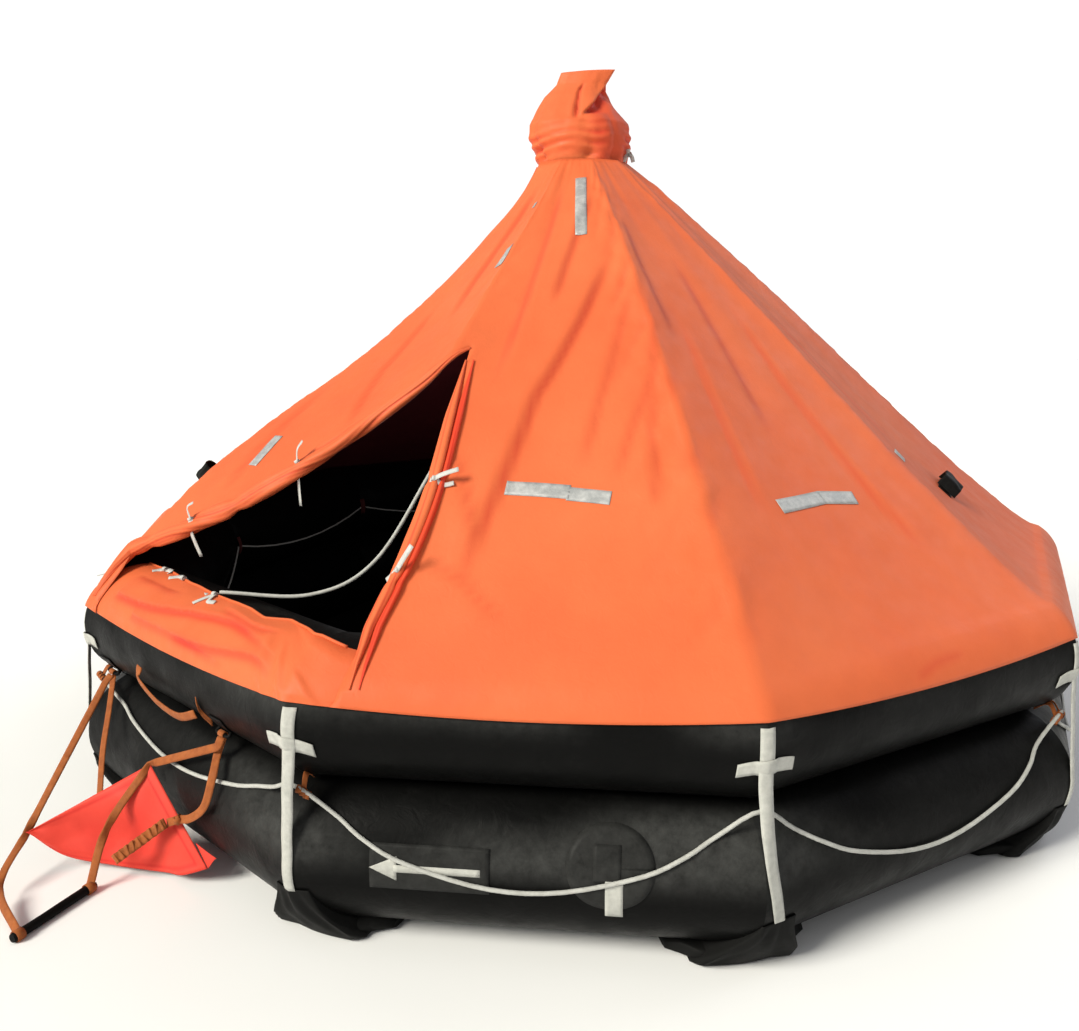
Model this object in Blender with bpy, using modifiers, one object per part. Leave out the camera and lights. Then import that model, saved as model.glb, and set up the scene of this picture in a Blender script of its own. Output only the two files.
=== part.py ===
"""A ten-sided inflatable life raft with a tent canopy, standing on a floor.

Lengths are in metres and Z is up. The origin is the middle of the raft's flat
underside. The entrance faces -Y. A place round the raft is an azimuth, measured
from -Y towards +X. The two tubes meet at mitred corners: side 0 is the entrance,
and corner 0 is at its left end, seen from outside.
"""

from math import cos, hypot, pi, radians, sin, sqrt, tan

import bmesh
import bpy
from mathutils import Vector

# Driving dimensions
SIDES = 10
RING_RADIUS = 1.80
LOWER_TUBE = 0.221
UPPER_TUBE = 0.197
PRESSED = 0.949
UNDERLAY = 0.020
NECK_RADIUS = 0.19
NECK_HEIGHT = 2.28
TOP_HEIGHT = 2.62
CLOTH = 0.006
GAP = 0.0003
WEBBING = 0.003

# What follows from them
STEP = 2 * pi / SIDES
HALF = STEP / 2
MITRE = 1 / cos(HALF)
APOTHEM = RING_RADIUS * cos(HALF)
LOWER_HEIGHT = UNDERLAY + LOWER_TUBE
BOND_HEIGHT = LOWER_HEIGHT + PRESSED * LOWER_TUBE
UPPER_HEIGHT = BOND_HEIGHT + PRESSED * UPPER_TUBE
TUBE_TOP = UPPER_HEIGHT + UPPER_TUBE

# The canopy is glued to the upper tube from its hem up to where it leaves the tube, at an
# angle in degrees for each corner. Each of its ten ridges hangs slack in its lower half,
# its upper half or both
HEM = radians(23)
HEM_DIP = radians(7)
TAKE_OFF = [45, 45, 45, 57, 57, 57, 57, 57, 57, 57]
CANOPY_BOW = 0.065
GORE_SAG = 0.020
GORE_SAG_IN = 0.65
GORE_SAG_DOWN = 0.76
LOW_SAG = [0.0, 0.0, 0.0, 0.09, 0.095, 0.09, 0.085, 0.08, 0.07, 0.065]
HIGH_SAG = [0.16, 0.02, 0.0, 0.0, 0.0, 0.01, 0.03, 0.06, 0.11, 0.145]
LOW_SAG_POWER = 0.65
SAG_START = 0.15
SAG_FULL = 0.65
SAG_END_POWER = 12
ROWS_ON_TUBE = 3
ROWS_ABOVE = 10
COLUMNS = 4
REAR_CURTAIN_TOP = 0.6

# The doorway's outline on the canopy, as (azimuth in degrees, height)
DOOR_TOP = (20.6, 1.586)
DOOR_SLANT = [(18.0, 1.552), (10.9, 1.420), (-1.1, 1.185), (-10.0, 1.020), (-17.9, 0.900)]
DOOR_UPRIGHT = [(22.4, 1.390), (23.5, 1.200), (23.4, 1.050), (22.6, 0.880)]
DOOR_FACING = 8
DOOR_CUT = 0.6
SLANT_ROLL = 0.026
UPRIGHT_ROLL = 0.013
SILL_EDGE = radians(100)

# Webbing, ropes and the parts on the tubes
STRAP_WIDTH = 0.038
STRAP_TOP = radians(19)
STRAP_LEAVES = radians(-38)
STRAP_LANDS = radians(42)
STRAP_END = radians(-22)
LIFELINE = 0.006
LIFELINE_CORNER = 0.169
LIFELINE_HEIGHT = 0.470
LIFELINE_DROP = 0.235
ENTRANCE_DROP = 0.130
LIFELINE_STOPS = (-1.0, -0.82, -0.69, -0.51, -0.16, 0.16, 0.51, 0.69, 0.82)
INNER_LINE = 0.004
INNER_LINE_DROP = 0.070
DOOR_ROPE = [(0.410, -1.430, 0.967), (0.250, -1.560, 0.856)]
DOOR_ROPE_END = (0.009, -1.730)

# The floor, its mat and the mast. The ballast pockets lie folded under the corners
FLOOR_LIP = 0.03
POCKET_LIP = 0.125
POCKET_DEPTH = 0.20
POCKET_BEVEL = 0.05
POCKET_HALF = 0.20
POCKET_NOSE = 0.09
POCKET_RISE = 0.085
MAT_HEIGHT = 0.065
MAST_RADIUS = 0.10

# The boarding ladder hangs from two bars under the upper tube
ANCHOR_ANGLE = radians(-43)
ANCHOR_LIFT = 0.017
ANCHOR_X = (-0.519, 0.218)
ANCHOR_PATCH = (radians(-26), radians(-52))
ANCHOR_PATCH_WIDTH = 0.074
ANCHOR_BAR_HALF = 0.03
ANCHOR_EAR = 0.0045
ANCHOR_EAR_X = 0.026
BAR_RADIUS = 0.006
SLEEVE_RADIUS = 0.010
SLEEVE_LENGTH = 0.028
SLEEVE_PLAY = 0.0006
LADDER_WEBBING = 0.025
RUNG_RADIUS = 0.014
RUNG_TUCK = 0.02
RUNG_LEFT = (0.020, -2.435)
RUNG_RIGHT = (-0.070, -2.170)
STEP_LEFT = (-0.316, -2.255, 0.120)
STEP_RIGHT = (-0.106, -1.985, 0.306)
STEP_FOOT = (0.150, -1.965, 0.050)
STEP_HEM = [(-0.235, -2.170, 0.030), (-0.110, -2.080, 0.008), (0.045, -1.990, 0.014)]
STRAP_LOW = {"left": (-0.215, -2.385, 0.050), "right": (-0.098, -2.105, 0.165)}
STEP_CLOTH = 0.002
STEP_OFFSET = 0.004

# The grab handle as (along its side, lift, height), and the vents' collars as
# (azimuth in degrees, height)
HANDLE = [(-0.245, 0.0, 0.630), (-0.20, 0.006, 0.575), (-0.06, 0.008, 0.530),
          (0.06, 0.006, 0.525), (0.145, 0.0, 0.545)]
VENTS = {"left": (-23.5, 1.12), "right": (105.0, 1.06)}
VENT_HALF_SPAN = 2.6
VENT_RISE = 0.05
VENT_WIDTH = 0.10

# The gathered peak's rings as (height, half width, flatness), from its neck up
PEAK_RINGS = [(2.33, 0.198, 0.92), (2.40, 0.215, 0.88), (2.46, 0.212, 0.80),
              (2.52, 0.170, 0.66), (2.57, 0.135, 0.52), (TOP_HEIGHT, 0.118, 0.40)]
PEAK_NECK = (NECK_HEIGHT + GAP, NECK_RADIUS + 0.004, 0.96)
PEAK_FACING = radians(40)
PEAK_SEGMENTS = 18

COLLECTION = "canopied_raft"
CUTTERS = "cutters"


def clear_scene():
    for item in list(bpy.data.objects):
        bpy.data.objects.remove(item, do_unlink=True)


def collection(name):
    found = bpy.data.collections.get(name)
    if found is None:
        found = bpy.data.collections.new(name)
        bpy.context.scene.collection.children.link(found)
    return found


def add_object(name, data, group=COLLECTION):
    item = bpy.data.objects.new(name, data)
    collection(group).objects.link(item)
    if group == CUTTERS:
        item.hide_render = True
        item.display_type = "WIRE"
    return item


def finish(item, colour, roughness, metallic=0.0):
    """Give a sub-part its own material."""
    material = bpy.data.materials.new(item.name)
    material.use_nodes = True
    shader = material.node_tree.nodes["Principled BSDF"]
    shader.inputs["Base Color"].default_value = (*colour, 1.0)
    shader.inputs["Roughness"].default_value = roughness
    shader.inputs["Metallic"].default_value = metallic
    item.data.materials.append(material)
    return item


def orange_cloth(item):
    return finish(item, (0.86, 0.25, 0.08), 0.62)


def black_rubber(item):
    return finish(item, (0.012, 0.012, 0.012), 0.42)


def white_webbing(item):
    return finish(item, (0.70, 0.70, 0.66), 0.75)


def brown_webbing(item):
    return finish(item, (0.46, 0.13, 0.03), 0.75)


def round_raft(azimuth, radius, height):
    """The point at an azimuth, a radius and a height."""
    return Vector((radius * sin(azimuth), -radius * cos(azimuth), height))


def corner_azimuth(corner):
    return (corner - 0.5) * STEP


def on_side(side, along, out, height):
    """The point `along` a side from its middle and `out` from the raft's axis."""
    azimuth = side * STEP
    outward = Vector((sin(azimuth), -cos(azimuth), 0))
    sideways = Vector((cos(azimuth), sin(azimuth), 0))
    return outward * out + sideways * along + Vector((0, 0, height))


def around_tube(radius, centre_height, angle):
    """Where a tube's surface lies in its corner plane, as (radius, height)."""
    return (RING_RADIUS + radius * cos(angle) * MITRE, centre_height + radius * sin(angle))


def clear_of(radius, sweep, count):
    """The radius at which flat steps over a tube stay a gap clear of it."""
    return (radius + GAP) / cos(sweep / count / 2)


def band(start, end, count):
    return [start + (end - start) * i / count for i in range(count + 1)]


def turned(name, profile, group=COLLECTION, steps=SIDES):
    """Turn a closed profile of (radius, height) pairs about the raft's axis."""
    mesh = bpy.data.meshes.new(name)
    points = [(radius, 0, height) for radius, height in profile]
    edges = [(i, (i + 1) % len(points)) for i in range(len(points))]
    mesh.from_pydata(points, edges, [])
    item = add_object(name, mesh, group)
    screw = item.modifiers.new("Turn", "SCREW")
    screw.axis = "Z"
    screw.angle = 2 * pi
    screw.steps = steps
    screw.render_steps = steps
    screw.use_merge_vertices = True
    screw.merge_threshold = 0.0001
    return item


def extruded(name, outline, travel, group=CUTTERS):
    """A prism from an outline and the vector that it is pushed along."""
    build = bmesh.new()
    face = build.faces.new([build.verts.new(point) for point in outline])
    pushed = bmesh.ops.extrude_face_region(build, geom=[face])["geom"]
    moved = [part for part in pushed if isinstance(part, bmesh.types.BMVert)]
    bmesh.ops.translate(build, verts=moved, vec=travel)
    bmesh.ops.recalc_face_normals(build, faces=build.faces)
    mesh = bpy.data.meshes.new(name)
    build.to_mesh(mesh)
    build.free()
    return add_object(name, mesh, group)


def block(name, centre, size, turn=0.0, group=COLLECTION):
    """A box turned about Z."""
    build = bmesh.new()
    bmesh.ops.create_cube(build, size=1)
    bmesh.ops.scale(build, vec=size, verts=build.verts)
    mesh = bpy.data.meshes.new(name)
    build.to_mesh(mesh)
    build.free()
    item = add_object(name, mesh, group)
    item.location = centre
    item.rotation_euler.z = turn
    return item


def cylinder(name, start, end, radius, group=COLLECTION, sides=16):
    """A cylinder between two points."""
    build = bmesh.new()
    axis = end - start
    bmesh.ops.create_cone(
        build, cap_ends=True, segments=sides, radius1=radius, radius2=radius, depth=axis.length
    )
    mesh = bpy.data.meshes.new(name)
    build.to_mesh(mesh)
    build.free()
    item = add_object(name, mesh, group)
    item.location = (start + end) / 2
    item.rotation_euler = axis.to_track_quat("Z", "Y").to_euler()
    return item


def boolean(item, cutter, operation):
    change = item.modifiers.new(cutter.name, "BOOLEAN")
    change.operation = operation
    change.solver = "EXACT"
    change.object = cutter
    return item


def smooth_route(points, count):
    """Points read evenly from a smooth curve through a few route points."""
    ends = [points[0] * 2 - points[1], *points, points[-1] * 2 - points[-2]]
    route = []
    for i in range(count + 1):
        place = i * (len(points) - 1) / count
        first = min(int(place), len(points) - 2)
        t = place - first
        before, start, end, after = ends[first:first + 4]
        route.append(
            (
                start * 2
                + (end - before) * t
                + (before * 2 - start * 5 + end * 4 - after) * t ** 2
                + (start * 3 - before - end * 3 + after) * t ** 3
            )
            / 2
        )
    return route


def rope(name, route, radius, group=COLLECTION):
    """A round rope along a route."""
    curve = bpy.data.curves.new(name, "CURVE")
    curve.dimensions = "3D"
    curve.bevel_depth = radius
    curve.bevel_resolution = 2
    curve.use_fill_caps = True
    spline = curve.splines.new("POLY")
    spline.points.add(len(route) - 1)
    for point, place in zip(spline.points, route):
        point.co = (*place, 1)
    return add_object(name, curve, group)


def as_mesh(item, group=CUTTERS):
    """Swap a curve for its mesh, with the caps welded on."""
    bpy.context.view_layer.update()
    evaluated = item.evaluated_get(bpy.context.evaluated_depsgraph_get())
    mesh = bpy.data.meshes.new_from_object(evaluated)
    build = bmesh.new()
    build.from_mesh(mesh)
    bmesh.ops.remove_doubles(build, verts=build.verts, dist=0.0001)
    bmesh.ops.recalc_face_normals(build, faces=build.faces)
    build.to_mesh(mesh)
    build.free()
    name = item.name
    placed = item.matrix_world.copy()
    bpy.data.objects.remove(item)
    solid = add_object(name, mesh, group)
    solid.matrix_world = placed
    return solid


def strap(name, route, across, width=LADDER_WEBBING, thickness=WEBBING, group=COLLECTION):
    """Webbing along a route: `across` gives its width direction at each point."""
    build = bmesh.new()
    near = [build.verts.new(p - a * width / 2) for p, a in zip(route, across)]
    edges = [build.edges.new(pair) for pair in zip(near, near[1:])]
    bmesh.ops.extrude_edge_only(build, edges=edges)
    far = build.verts[:][len(near):]
    for vertex, point, side in zip(far, route, across):
        vertex.co = point + side * width / 2
    mesh = bpy.data.meshes.new(name)
    build.to_mesh(mesh)
    build.free()
    item = add_object(name, mesh, group)
    thicken = item.modifiers.new("Thickness", "SOLIDIFY")
    thicken.thickness = thickness
    thicken.offset = 0
    return item


def tube_ring(name, radius, height, low, high, group=COLLECTION, segments=32):
    """A tube ring, pressed flat where it would pass below `low` or above `high`."""
    profile = []
    for i in range(segments):
        across, level = around_tube(radius, height, -2 * pi * i / segments)
        profile.append((across, min(max(level, low), high)))
    return turned(name, profile, group)


def make_tubes():
    lower = tube_ring("tube_lower", LOWER_TUBE, LOWER_HEIGHT, UNDERLAY, BOND_HEIGHT)
    upper = tube_ring("tube_upper", UPPER_TUBE, UPPER_HEIGHT, BOND_HEIGHT + GAP, TUBE_TOP)
    black_rubber(lower)
    black_rubber(upper)


def make_floor():
    """The underlay with its ballast pockets folded at the corners, the mat on it and the mast."""
    reach = RING_RADIUS + FLOOR_LIP
    outline = [round_raft(corner_azimuth(i), reach, 0) for i in range(SIDES)]
    underlay = extruded("floor_underlay", outline, Vector((0, 0, UNDERLAY - GAP)), COLLECTION)
    room = tube_ring("tube_room", LOWER_TUBE + GAP, LOWER_HEIGHT, -1, 2, CUTTERS)
    half_outline = [(POCKET_DEPTH, POCKET_HALF), (POCKET_BEVEL, POCKET_HALF), (0, POCKET_NOSE)]
    for i in range(SIDES):
        azimuth = corner_azimuth(i)
        outward = round_raft(azimuth, 1, 0)
        sideways = Vector((outward.y, -outward.x, 0))
        middle = outward * (RING_RADIUS + POCKET_LIP)
        left = [middle - outward * depth - sideways * half for depth, half in half_outline]
        right = [middle - outward * depth + sideways * half for depth, half in half_outline]
        pocket = extruded(f"pocket_{i + 1:02d}", left + right[::-1], Vector((0, 0, POCKET_RISE)))
        boolean(underlay, pocket, "UNION")
    boolean(underlay, room, "DIFFERENCE")
    black_rubber(underlay)
    mat_top = UNDERLAY + MAT_HEIGHT
    drop = LOWER_HEIGHT - mat_top
    inner = (APOTHEM - sqrt(LOWER_TUBE ** 2 - drop ** 2) - 0.002) * MITRE
    outline = [round_raft(corner_azimuth(i), inner, UNDERLAY) for i in range(SIDES)]
    mat = extruded("floor_mat", outline, Vector((0, 0, MAT_HEIGHT)), COLLECTION)
    black_rubber(mat)
    foot = Vector((0, 0, mat_top + GAP))
    mast = cylinder("centre_mast", foot, Vector((0, 0, NECK_HEIGHT)), MAST_RADIUS)
    finish(mast, (0.09, 0.02, 0.02), 0.6)


def ridge_sag(corner, t):
    """How far a ridge hangs below its bow at t, from the tube (0) to the neck (1)."""
    t = max(t, 0)
    x = min(max((t - SAG_START) / (SAG_FULL - SAG_START), 0), 1)
    high = x * x * (3 - 2 * x) * (1 - t ** SAG_END_POWER)
    low = sin(pi * t ** LOW_SAG_POWER)
    return LOW_SAG[corner % SIDES] * low + HIGH_SAG[corner % SIDES] * high


def ridge_point(corner, u, v, inset, take_off):
    """A ridge's (radius, height): v is -1 at the hem, 0 where it leaves the tube, 1 at the neck."""
    sweep = radians(max(TAKE_OFF)) - HEM + 2 * HEM_DIP
    reach = clear_of(UPPER_TUBE, sweep, ROWS_ON_TUBE) + CLOTH
    if v < 0:
        hem = HEM - HEM_DIP * (1 - (2 * u - 1) ** 2)
        return around_tube(reach - inset, UPPER_HEIGHT, hem + (take_off - hem) * (1 + v))
    radius, height = around_tube(reach, UPPER_HEIGHT, take_off)
    rise = NECK_HEIGHT - height
    run = radius - NECK_RADIUS
    length = hypot(rise, run)
    across = radius - run * v - inset * rise / length * MITRE
    bow = CANOPY_BOW * sin(pi * v) - ridge_sag(corner, v)
    return across, height + rise * v + bow - inset * run / length


def canopy_point(side, u, v, inset=0.0):
    """The canopy's surface on a gore: u is 0 at its left ridge and 1 at its right."""
    ends = TAKE_OFF[side % SIDES], TAKE_OFF[(side + 1) % SIDES]
    take_off = radians(ends[0] + (ends[1] - ends[0]) * u)
    left = round_raft(corner_azimuth(side), *ridge_point(side, u, v, inset, take_off))
    right = round_raft(corner_azimuth(side + 1), *ridge_point(side + 1, u, v, inset, take_off))
    point = left.lerp(right, u)
    dip = GORE_SAG * sin(pi * max(v, 0)) * (1 - (2 * u - 1) ** 2)
    return point - round_raft(side * STEP, dip * GORE_SAG_IN, dip * GORE_SAG_DOWN)


def canopy_at(azimuth, height, inset=0.0):
    """The canopy's surface at an azimuth in degrees and a height."""
    side = round(radians(azimuth) / STEP)
    u = (1 + tan(radians(azimuth) - side * STEP) / tan(HALF)) / 2
    low, high = -1.0, 1.0
    for _ in range(40):
        middle = (low + high) / 2
        if canopy_point(side, u, middle).z < height:
            low = middle
        else:
            high = middle
    return canopy_point(side, u, low, inset)


def gore(name, side, low=-1.0, high=1.0, lift=0.0):
    """One canopy panel, lofted between its two ridges as a closed shell."""
    rows = [v for v in band(-1, 0, ROWS_ON_TUBE)[:-1] + band(0, 1, ROWS_ABOVE)]
    rows = [v for v in rows if low <= v <= high]
    seam = round_raft(side * STEP + pi / 2, GAP / 2, 0)
    build = bmesh.new()
    sections = []
    for column in range(COLUMNS + 1):
        u = column / COLUMNS
        shift = seam if column == 0 else -seam if column == COLUMNS else Vector()
        outer = [canopy_point(side, u, v, -lift - CLOTH if lift else 0) + shift for v in rows]
        inner = [canopy_point(side, u, v, -lift if lift else CLOTH) + shift for v in rows]
        sections.append([build.verts.new(point) for point in outer + inner[::-1]])
    count = len(sections[0])
    for here, after in zip(sections, sections[1:]):
        for i in range(count):
            j = (i + 1) % count
            if i < len(rows):
                build.faces.new((here[i], after[i], after[j]))
                build.faces.new((here[i], after[j], here[j]))
            else:
                build.faces.new((here[i], after[i], here[j]))
                build.faces.new((after[i], after[j], here[j]))
    for end in (sections[0], sections[-1]):
        for i in range(len(rows) - 1):
            build.faces.new((end[i], end[i + 1], end[count - 2 - i], end[count - 1 - i]))
    bmesh.ops.recalc_face_normals(build, faces=build.faces)
    mesh = bpy.data.meshes.new(name)
    build.to_mesh(mesh)
    build.free()
    return add_object(name, mesh)


def flatten(points, normal, level):
    """Slide points along a direction onto one plane across it."""
    return [point + normal * (level - point.dot(normal)) for point in points]


def door_cutter(name, outline):
    """A prism through the canopy round an outline on its surface."""
    facing = round_raft(radians(DOOR_FACING), GORE_SAG_IN, GORE_SAG_DOWN).normalized()
    level = canopy_at(0, DOOR_UPRIGHT[1][1]).dot(facing)
    return extruded(name, flatten(outline, facing, level + DOOR_CUT), facing * -2 * DOOR_CUT)


def make_canopy():
    """The ten canopy panels, the doorway's rolled edges and the closed curtain behind."""
    top = canopy_at(*DOOR_TOP)
    slant = [top] + [canopy_at(*place) for place in DOOR_SLANT]
    upright = [top] + [canopy_at(*place) for place in DOOR_UPRIGHT]
    slant_end = slant[-1] + (slant[-1] - slant[-2])
    outside = RING_RADIUS + 4 * UPPER_TUBE
    below_left = round_raft(radians(-40), outside, UNDERLAY)
    below_right = round_raft(radians(50), outside, UNDERLAY)
    beside_right = round_raft(radians(50), RING_RADIUS, DOOR_UPRIGHT[1][1])
    outline = [*slant, slant_end, below_left, below_right, beside_right]
    entrance = door_cutter("door_slant", outline)
    within = [canopy_at(5, DOOR_UPRIGHT[-1][1]), canopy_at(5, DOOR_SLANT[0][1])]
    beside = door_cutter("door_upright", [*upright, *within])
    slant_line = smooth_route(slant, 16)
    upright_roll = smooth_route(upright, 12)
    before = top + (slant_line[0] - slant_line[1]).normalized() * 4 * GAP
    after = upright_roll[-1] + (upright_roll[-1] - upright_roll[-2]).normalized() * 4 * GAP
    slant_route = [before, *slant_line, slant_end]
    slant_room = as_mesh(rope("slant_room", slant_route, SLANT_ROLL + GAP, CUTTERS))
    upright_route = [*upright_roll[1:], after]
    upright_room = as_mesh(rope("upright_room", upright_route, UPRIGHT_ROLL + GAP, CUTTERS))
    for side in range(SIDES):
        panel = orange_cloth(gore(f"canopy_gore_{side + 1:02d}", side))
        if side == 0:
            boolean(panel, entrance, "DIFFERENCE")
            boolean(panel, slant_room, "DIFFERENCE")
        if side == 1:
            boolean(panel, beside, "DIFFERENCE")
            boolean(panel, slant_room, "DIFFERENCE")
            boolean(panel, upright_room, "DIFFERENCE")
    orange_cloth(rope("door_curtain_roll", slant_line[:-1], SLANT_ROLL))
    orange_cloth(rope("door_edge_roll", upright_roll[3:], UPRIGHT_ROLL))
    rear = gore("rear_curtain", SIDES // 2, low=0.0, high=REAR_CURTAIN_TOP, lift=GAP)
    orange_cloth(rear)
    return upright_roll


def tube_band(name, parts, thickness, group=COLLECTION):
    """A closed band round the raft that follows the tubes, from (radius, height, angles)."""
    outer = []
    inner = []
    for radius, height, start, end, count in parts:
        reach = clear_of(radius, start - end, count)
        for angle in band(start, end, count):
            outer.append(around_tube(reach + thickness, height, angle))
            inner.append(around_tube(reach, height, angle))
    return turned(name, outer + inner[::-1], group)


def make_sill():
    """The doorway's bottom flap, which lies over the upper tube on the entrance side."""
    parts = [(UPPER_TUBE, UPPER_HEIGHT, SILL_EDGE, HEM, 7)]
    sill = tube_band("door_sill_flap", parts, CLOTH)
    edge = Vector((0, -GAP / 2 / cos(HALF), 0))
    outline = [edge]
    for corner in (0, 1):
        outline.append(round_raft(corner_azimuth(corner), 2 * RING_RADIUS, 0) + edge)
    wedge = extruded("sill_wedge", outline, Vector((0, 0, TOP_HEIGHT)))
    orange_cloth(boolean(sill, wedge, "INTERSECT"))


def make_corner_straps():
    """White webbing over both tubes at each corner."""
    parts = [
        (UPPER_TUBE, UPPER_HEIGHT, STRAP_TOP, STRAP_LEAVES, 4),
        (LOWER_TUBE, LOWER_HEIGHT, STRAP_LANDS, STRAP_END, 5),
    ]
    size = (STRAP_WIDTH, 4 * UPPER_TUBE, 2 * TUBE_TOP)
    for i in range(SIDES):
        webbing = tube_band(f"corner_strap_{i + 1:02d}", parts, WEBBING)
        azimuth = corner_azimuth(i)
        middle = round_raft(azimuth, RING_RADIUS + UPPER_TUBE, BOND_HEIGHT)
        slot = block(f"strap_slot_{i + 1:02d}", middle, size, azimuth, CUTTERS)
        white_webbing(boolean(webbing, slot, "INTERSECT"))


def lifeline_out(height):
    """How far from a side's middle plane the outer lifeline hangs at a height."""
    reach = clear_of(LOWER_TUBE, radians(15), 1) + LIFELINE
    over = max(height - LOWER_HEIGHT, 0)
    on_tube = sqrt(max(reach ** 2 - over ** 2, 0))
    return APOTHEM + max(on_tube, LIFELINE_CORNER)


def make_ropes(upright_roll):
    """The grab lines outside and inside, and the door's rope."""
    half_corner = (APOTHEM + LIFELINE_CORNER) * tan(HALF)
    route = []
    for side in range(SIDES):
        drop = ENTRANCE_DROP if side == 0 else LIFELINE_DROP
        for part in LIFELINE_STOPS:
            height = LIFELINE_HEIGHT - drop * (1 - part ** 2)
            route.append(on_side(side, part * half_corner, lifeline_out(height), height))
    white_webbing(rope("lifeline_outer", route, LIFELINE))
    inner_out = APOTHEM - UPPER_TUBE - INNER_LINE - GAP
    half_inner = inner_out * tan(HALF)
    route = []
    for side in range(SIDES):
        for part in band(-1, 1, 4)[:-1]:
            height = UPPER_HEIGHT - INNER_LINE_DROP * (1 - part ** 2)
            route.append(on_side(side, part * half_inner, inner_out, height))
    white_webbing(rope("lifeline_inner", route, INNER_LINE))
    aside = Vector((-1, 0.2, 0)).normalized()
    start = upright_roll[5] + aside * (UPRIGHT_ROLL + LIFELINE + GAP)
    middle = [Vector(place) for place in DOOR_ROPE]
    end = Vector((*DOOR_ROPE_END, TUBE_TOP + CLOTH + GAP + 2 * LIFELINE))
    white_webbing(rope("door_rope", smooth_route([start, *middle, end], 20), LIFELINE))


def hinge_bar():
    """The (y, z) of the ladder's hinge axis, under the upper tube on the entrance side."""
    reach = UPPER_TUBE + ANCHOR_LIFT
    return -APOTHEM - reach * cos(ANCHOR_ANGLE), UPPER_HEIGHT + reach * sin(ANCHOR_ANGLE)


def make_anchors():
    """Two glued patches, each with a bar between two ears, which the ladder hangs on."""
    y, z = hinge_bar()
    inward = Vector((0, cos(ANCHOR_ANGLE), -sin(ANCHOR_ANGLE)))
    half_bar = Vector((ANCHOR_BAR_HALF, 0, 0))
    size = (ANCHOR_PATCH_WIDTH, 2 * UPPER_TUBE, 2 * UPPER_TUBE)
    for name, x in zip(("left", "right"), ANCHOR_X):
        patch = tube_band(
            f"ladder_anchor_{name}", [(UPPER_TUBE, UPPER_HEIGHT, *ANCHOR_PATCH, 4)], WEBBING
        )
        middle = Vector((x, y, z))
        slot = block(f"anchor_slot_{name}", middle, size, 0, CUTTERS)
        boolean(patch, slot, "INTERSECT")
        bar = cylinder(
            f"anchor_bar_{name}", middle - half_bar, middle + half_bar, BAR_RADIUS, CUTTERS
        )
        boolean(patch, bar, "UNION")
        for side in (-1, 1):
            ear_middle = middle + Vector((side * ANCHOR_EAR_X, 0, 0))
            start = ear_middle - inward * BAR_RADIUS / 2
            foot = ear_middle + inward * (ANCHOR_LIFT - WEBBING / 2)
            ear = cylinder(f"anchor_ear_{name}_{side}", start, foot, ANCHOR_EAR, CUTTERS, 12)
            boolean(patch, ear, "UNION")
        black_rubber(patch)


def make_handle():
    """The webbing grab handle under the sill, at the entrance."""
    out = APOTHEM + UPPER_TUBE + WEBBING / 2 + GAP
    route = smooth_route([on_side(0, x, out + lift, height) for x, lift, height in HANDLE], 16)
    handle = strap("grab_handle", route, [Vector((0, 0, 1))] * len(route))
    brown_webbing(handle)


def sleeve(name, x):
    """The loop that ends a ladder strap, round its anchor's bar."""
    y, z = hinge_bar()
    start = Vector((x - SLEEVE_LENGTH / 2, y, z))
    end = Vector((x + SLEEVE_LENGTH / 2, y, z))
    outside = cylinder(f"{name}_loop", start, end, SLEEVE_RADIUS, CUTTERS)
    reach = Vector((SLEEVE_RADIUS, 0, 0))
    hole = cylinder(f"{name}_hole", start - reach, end + reach, BAR_RADIUS + SLEEVE_PLAY, CUTTERS)
    return outside, hole


def along(route):
    """The direction of travel at each point of a route."""
    ahead = [*route[1:], route[-1] * 2 - route[-2]]
    behind = [route[0] * 2 - route[1], *route[:-1]]
    return [(b - a).normalized() for a, b in zip(behind, ahead)]


def make_ladder():
    """Two webbing straps, a cloth step and a rung, laid out on the floor."""
    y, z = hinge_bar()
    rung_left = Vector((*RUNG_LEFT, RUNG_RADIUS + GAP))
    rung_right = Vector((*RUNG_RIGHT, RUNG_RADIUS + GAP))
    rung_way = (rung_left - rung_right).normalized()
    step_left, step_right, step_foot = Vector(STEP_LEFT), Vector(STEP_RIGHT), Vector(STEP_FOOT)
    facing = (step_left - step_right).cross(step_foot - step_right).normalized()
    rung = cylinder("ladder_rung", rung_left, rung_right, RUNG_RADIUS, sides=12)
    black_rubber(rung)
    past = rung_way * RUNG_TUCK / 2
    rung_room = cylinder(
        "rung_room", rung_left + past, rung_right - past, RUNG_RADIUS + GAP, CUTTERS, 12
    )
    cloth = step_cloth("ladder_step", step_left, step_right, step_foot, facing)
    sides = (
        ("left", ANCHOR_X[0], step_left, rung_left - rung_way * RUNG_TUCK),
        ("right", ANCHOR_X[1], step_right, rung_right + rung_way * RUNG_TUCK),
    )
    for name, x, step, end in sides:
        bar = Vector((x, y, z))
        hang = Vector((0, step.y - y, step.z - z)).normalized()
        start = bar + hang * (SLEEVE_RADIUS - WEBBING / 3)
        fall = bar + hang * 4 * SLEEVE_RADIUS
        upper = [fall.lerp(step, i / 6) for i in range(7)]
        route = [start, *upper, *smooth_route([step, Vector(STRAP_LOW[name]), end], 9)[1:]]
        across = [way.cross(facing).normalized() for way in along(route)]
        room = strap(f"strap_room_{name}", route, across, LADDER_WEBBING + 12 * GAP,
                     WEBBING + 5 * GAP, CUTTERS)
        boolean(cloth, room, "DIFFERENCE")
        item = strap(f"ladder_strap_{name}", route, across)
        outside, hole = sleeve(item.name, x)
        boolean(item, outside, "UNION")
        boolean(item, hole, "DIFFERENCE")
        boolean(item, rung_room, "DIFFERENCE")
        brown_webbing(item)


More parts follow.
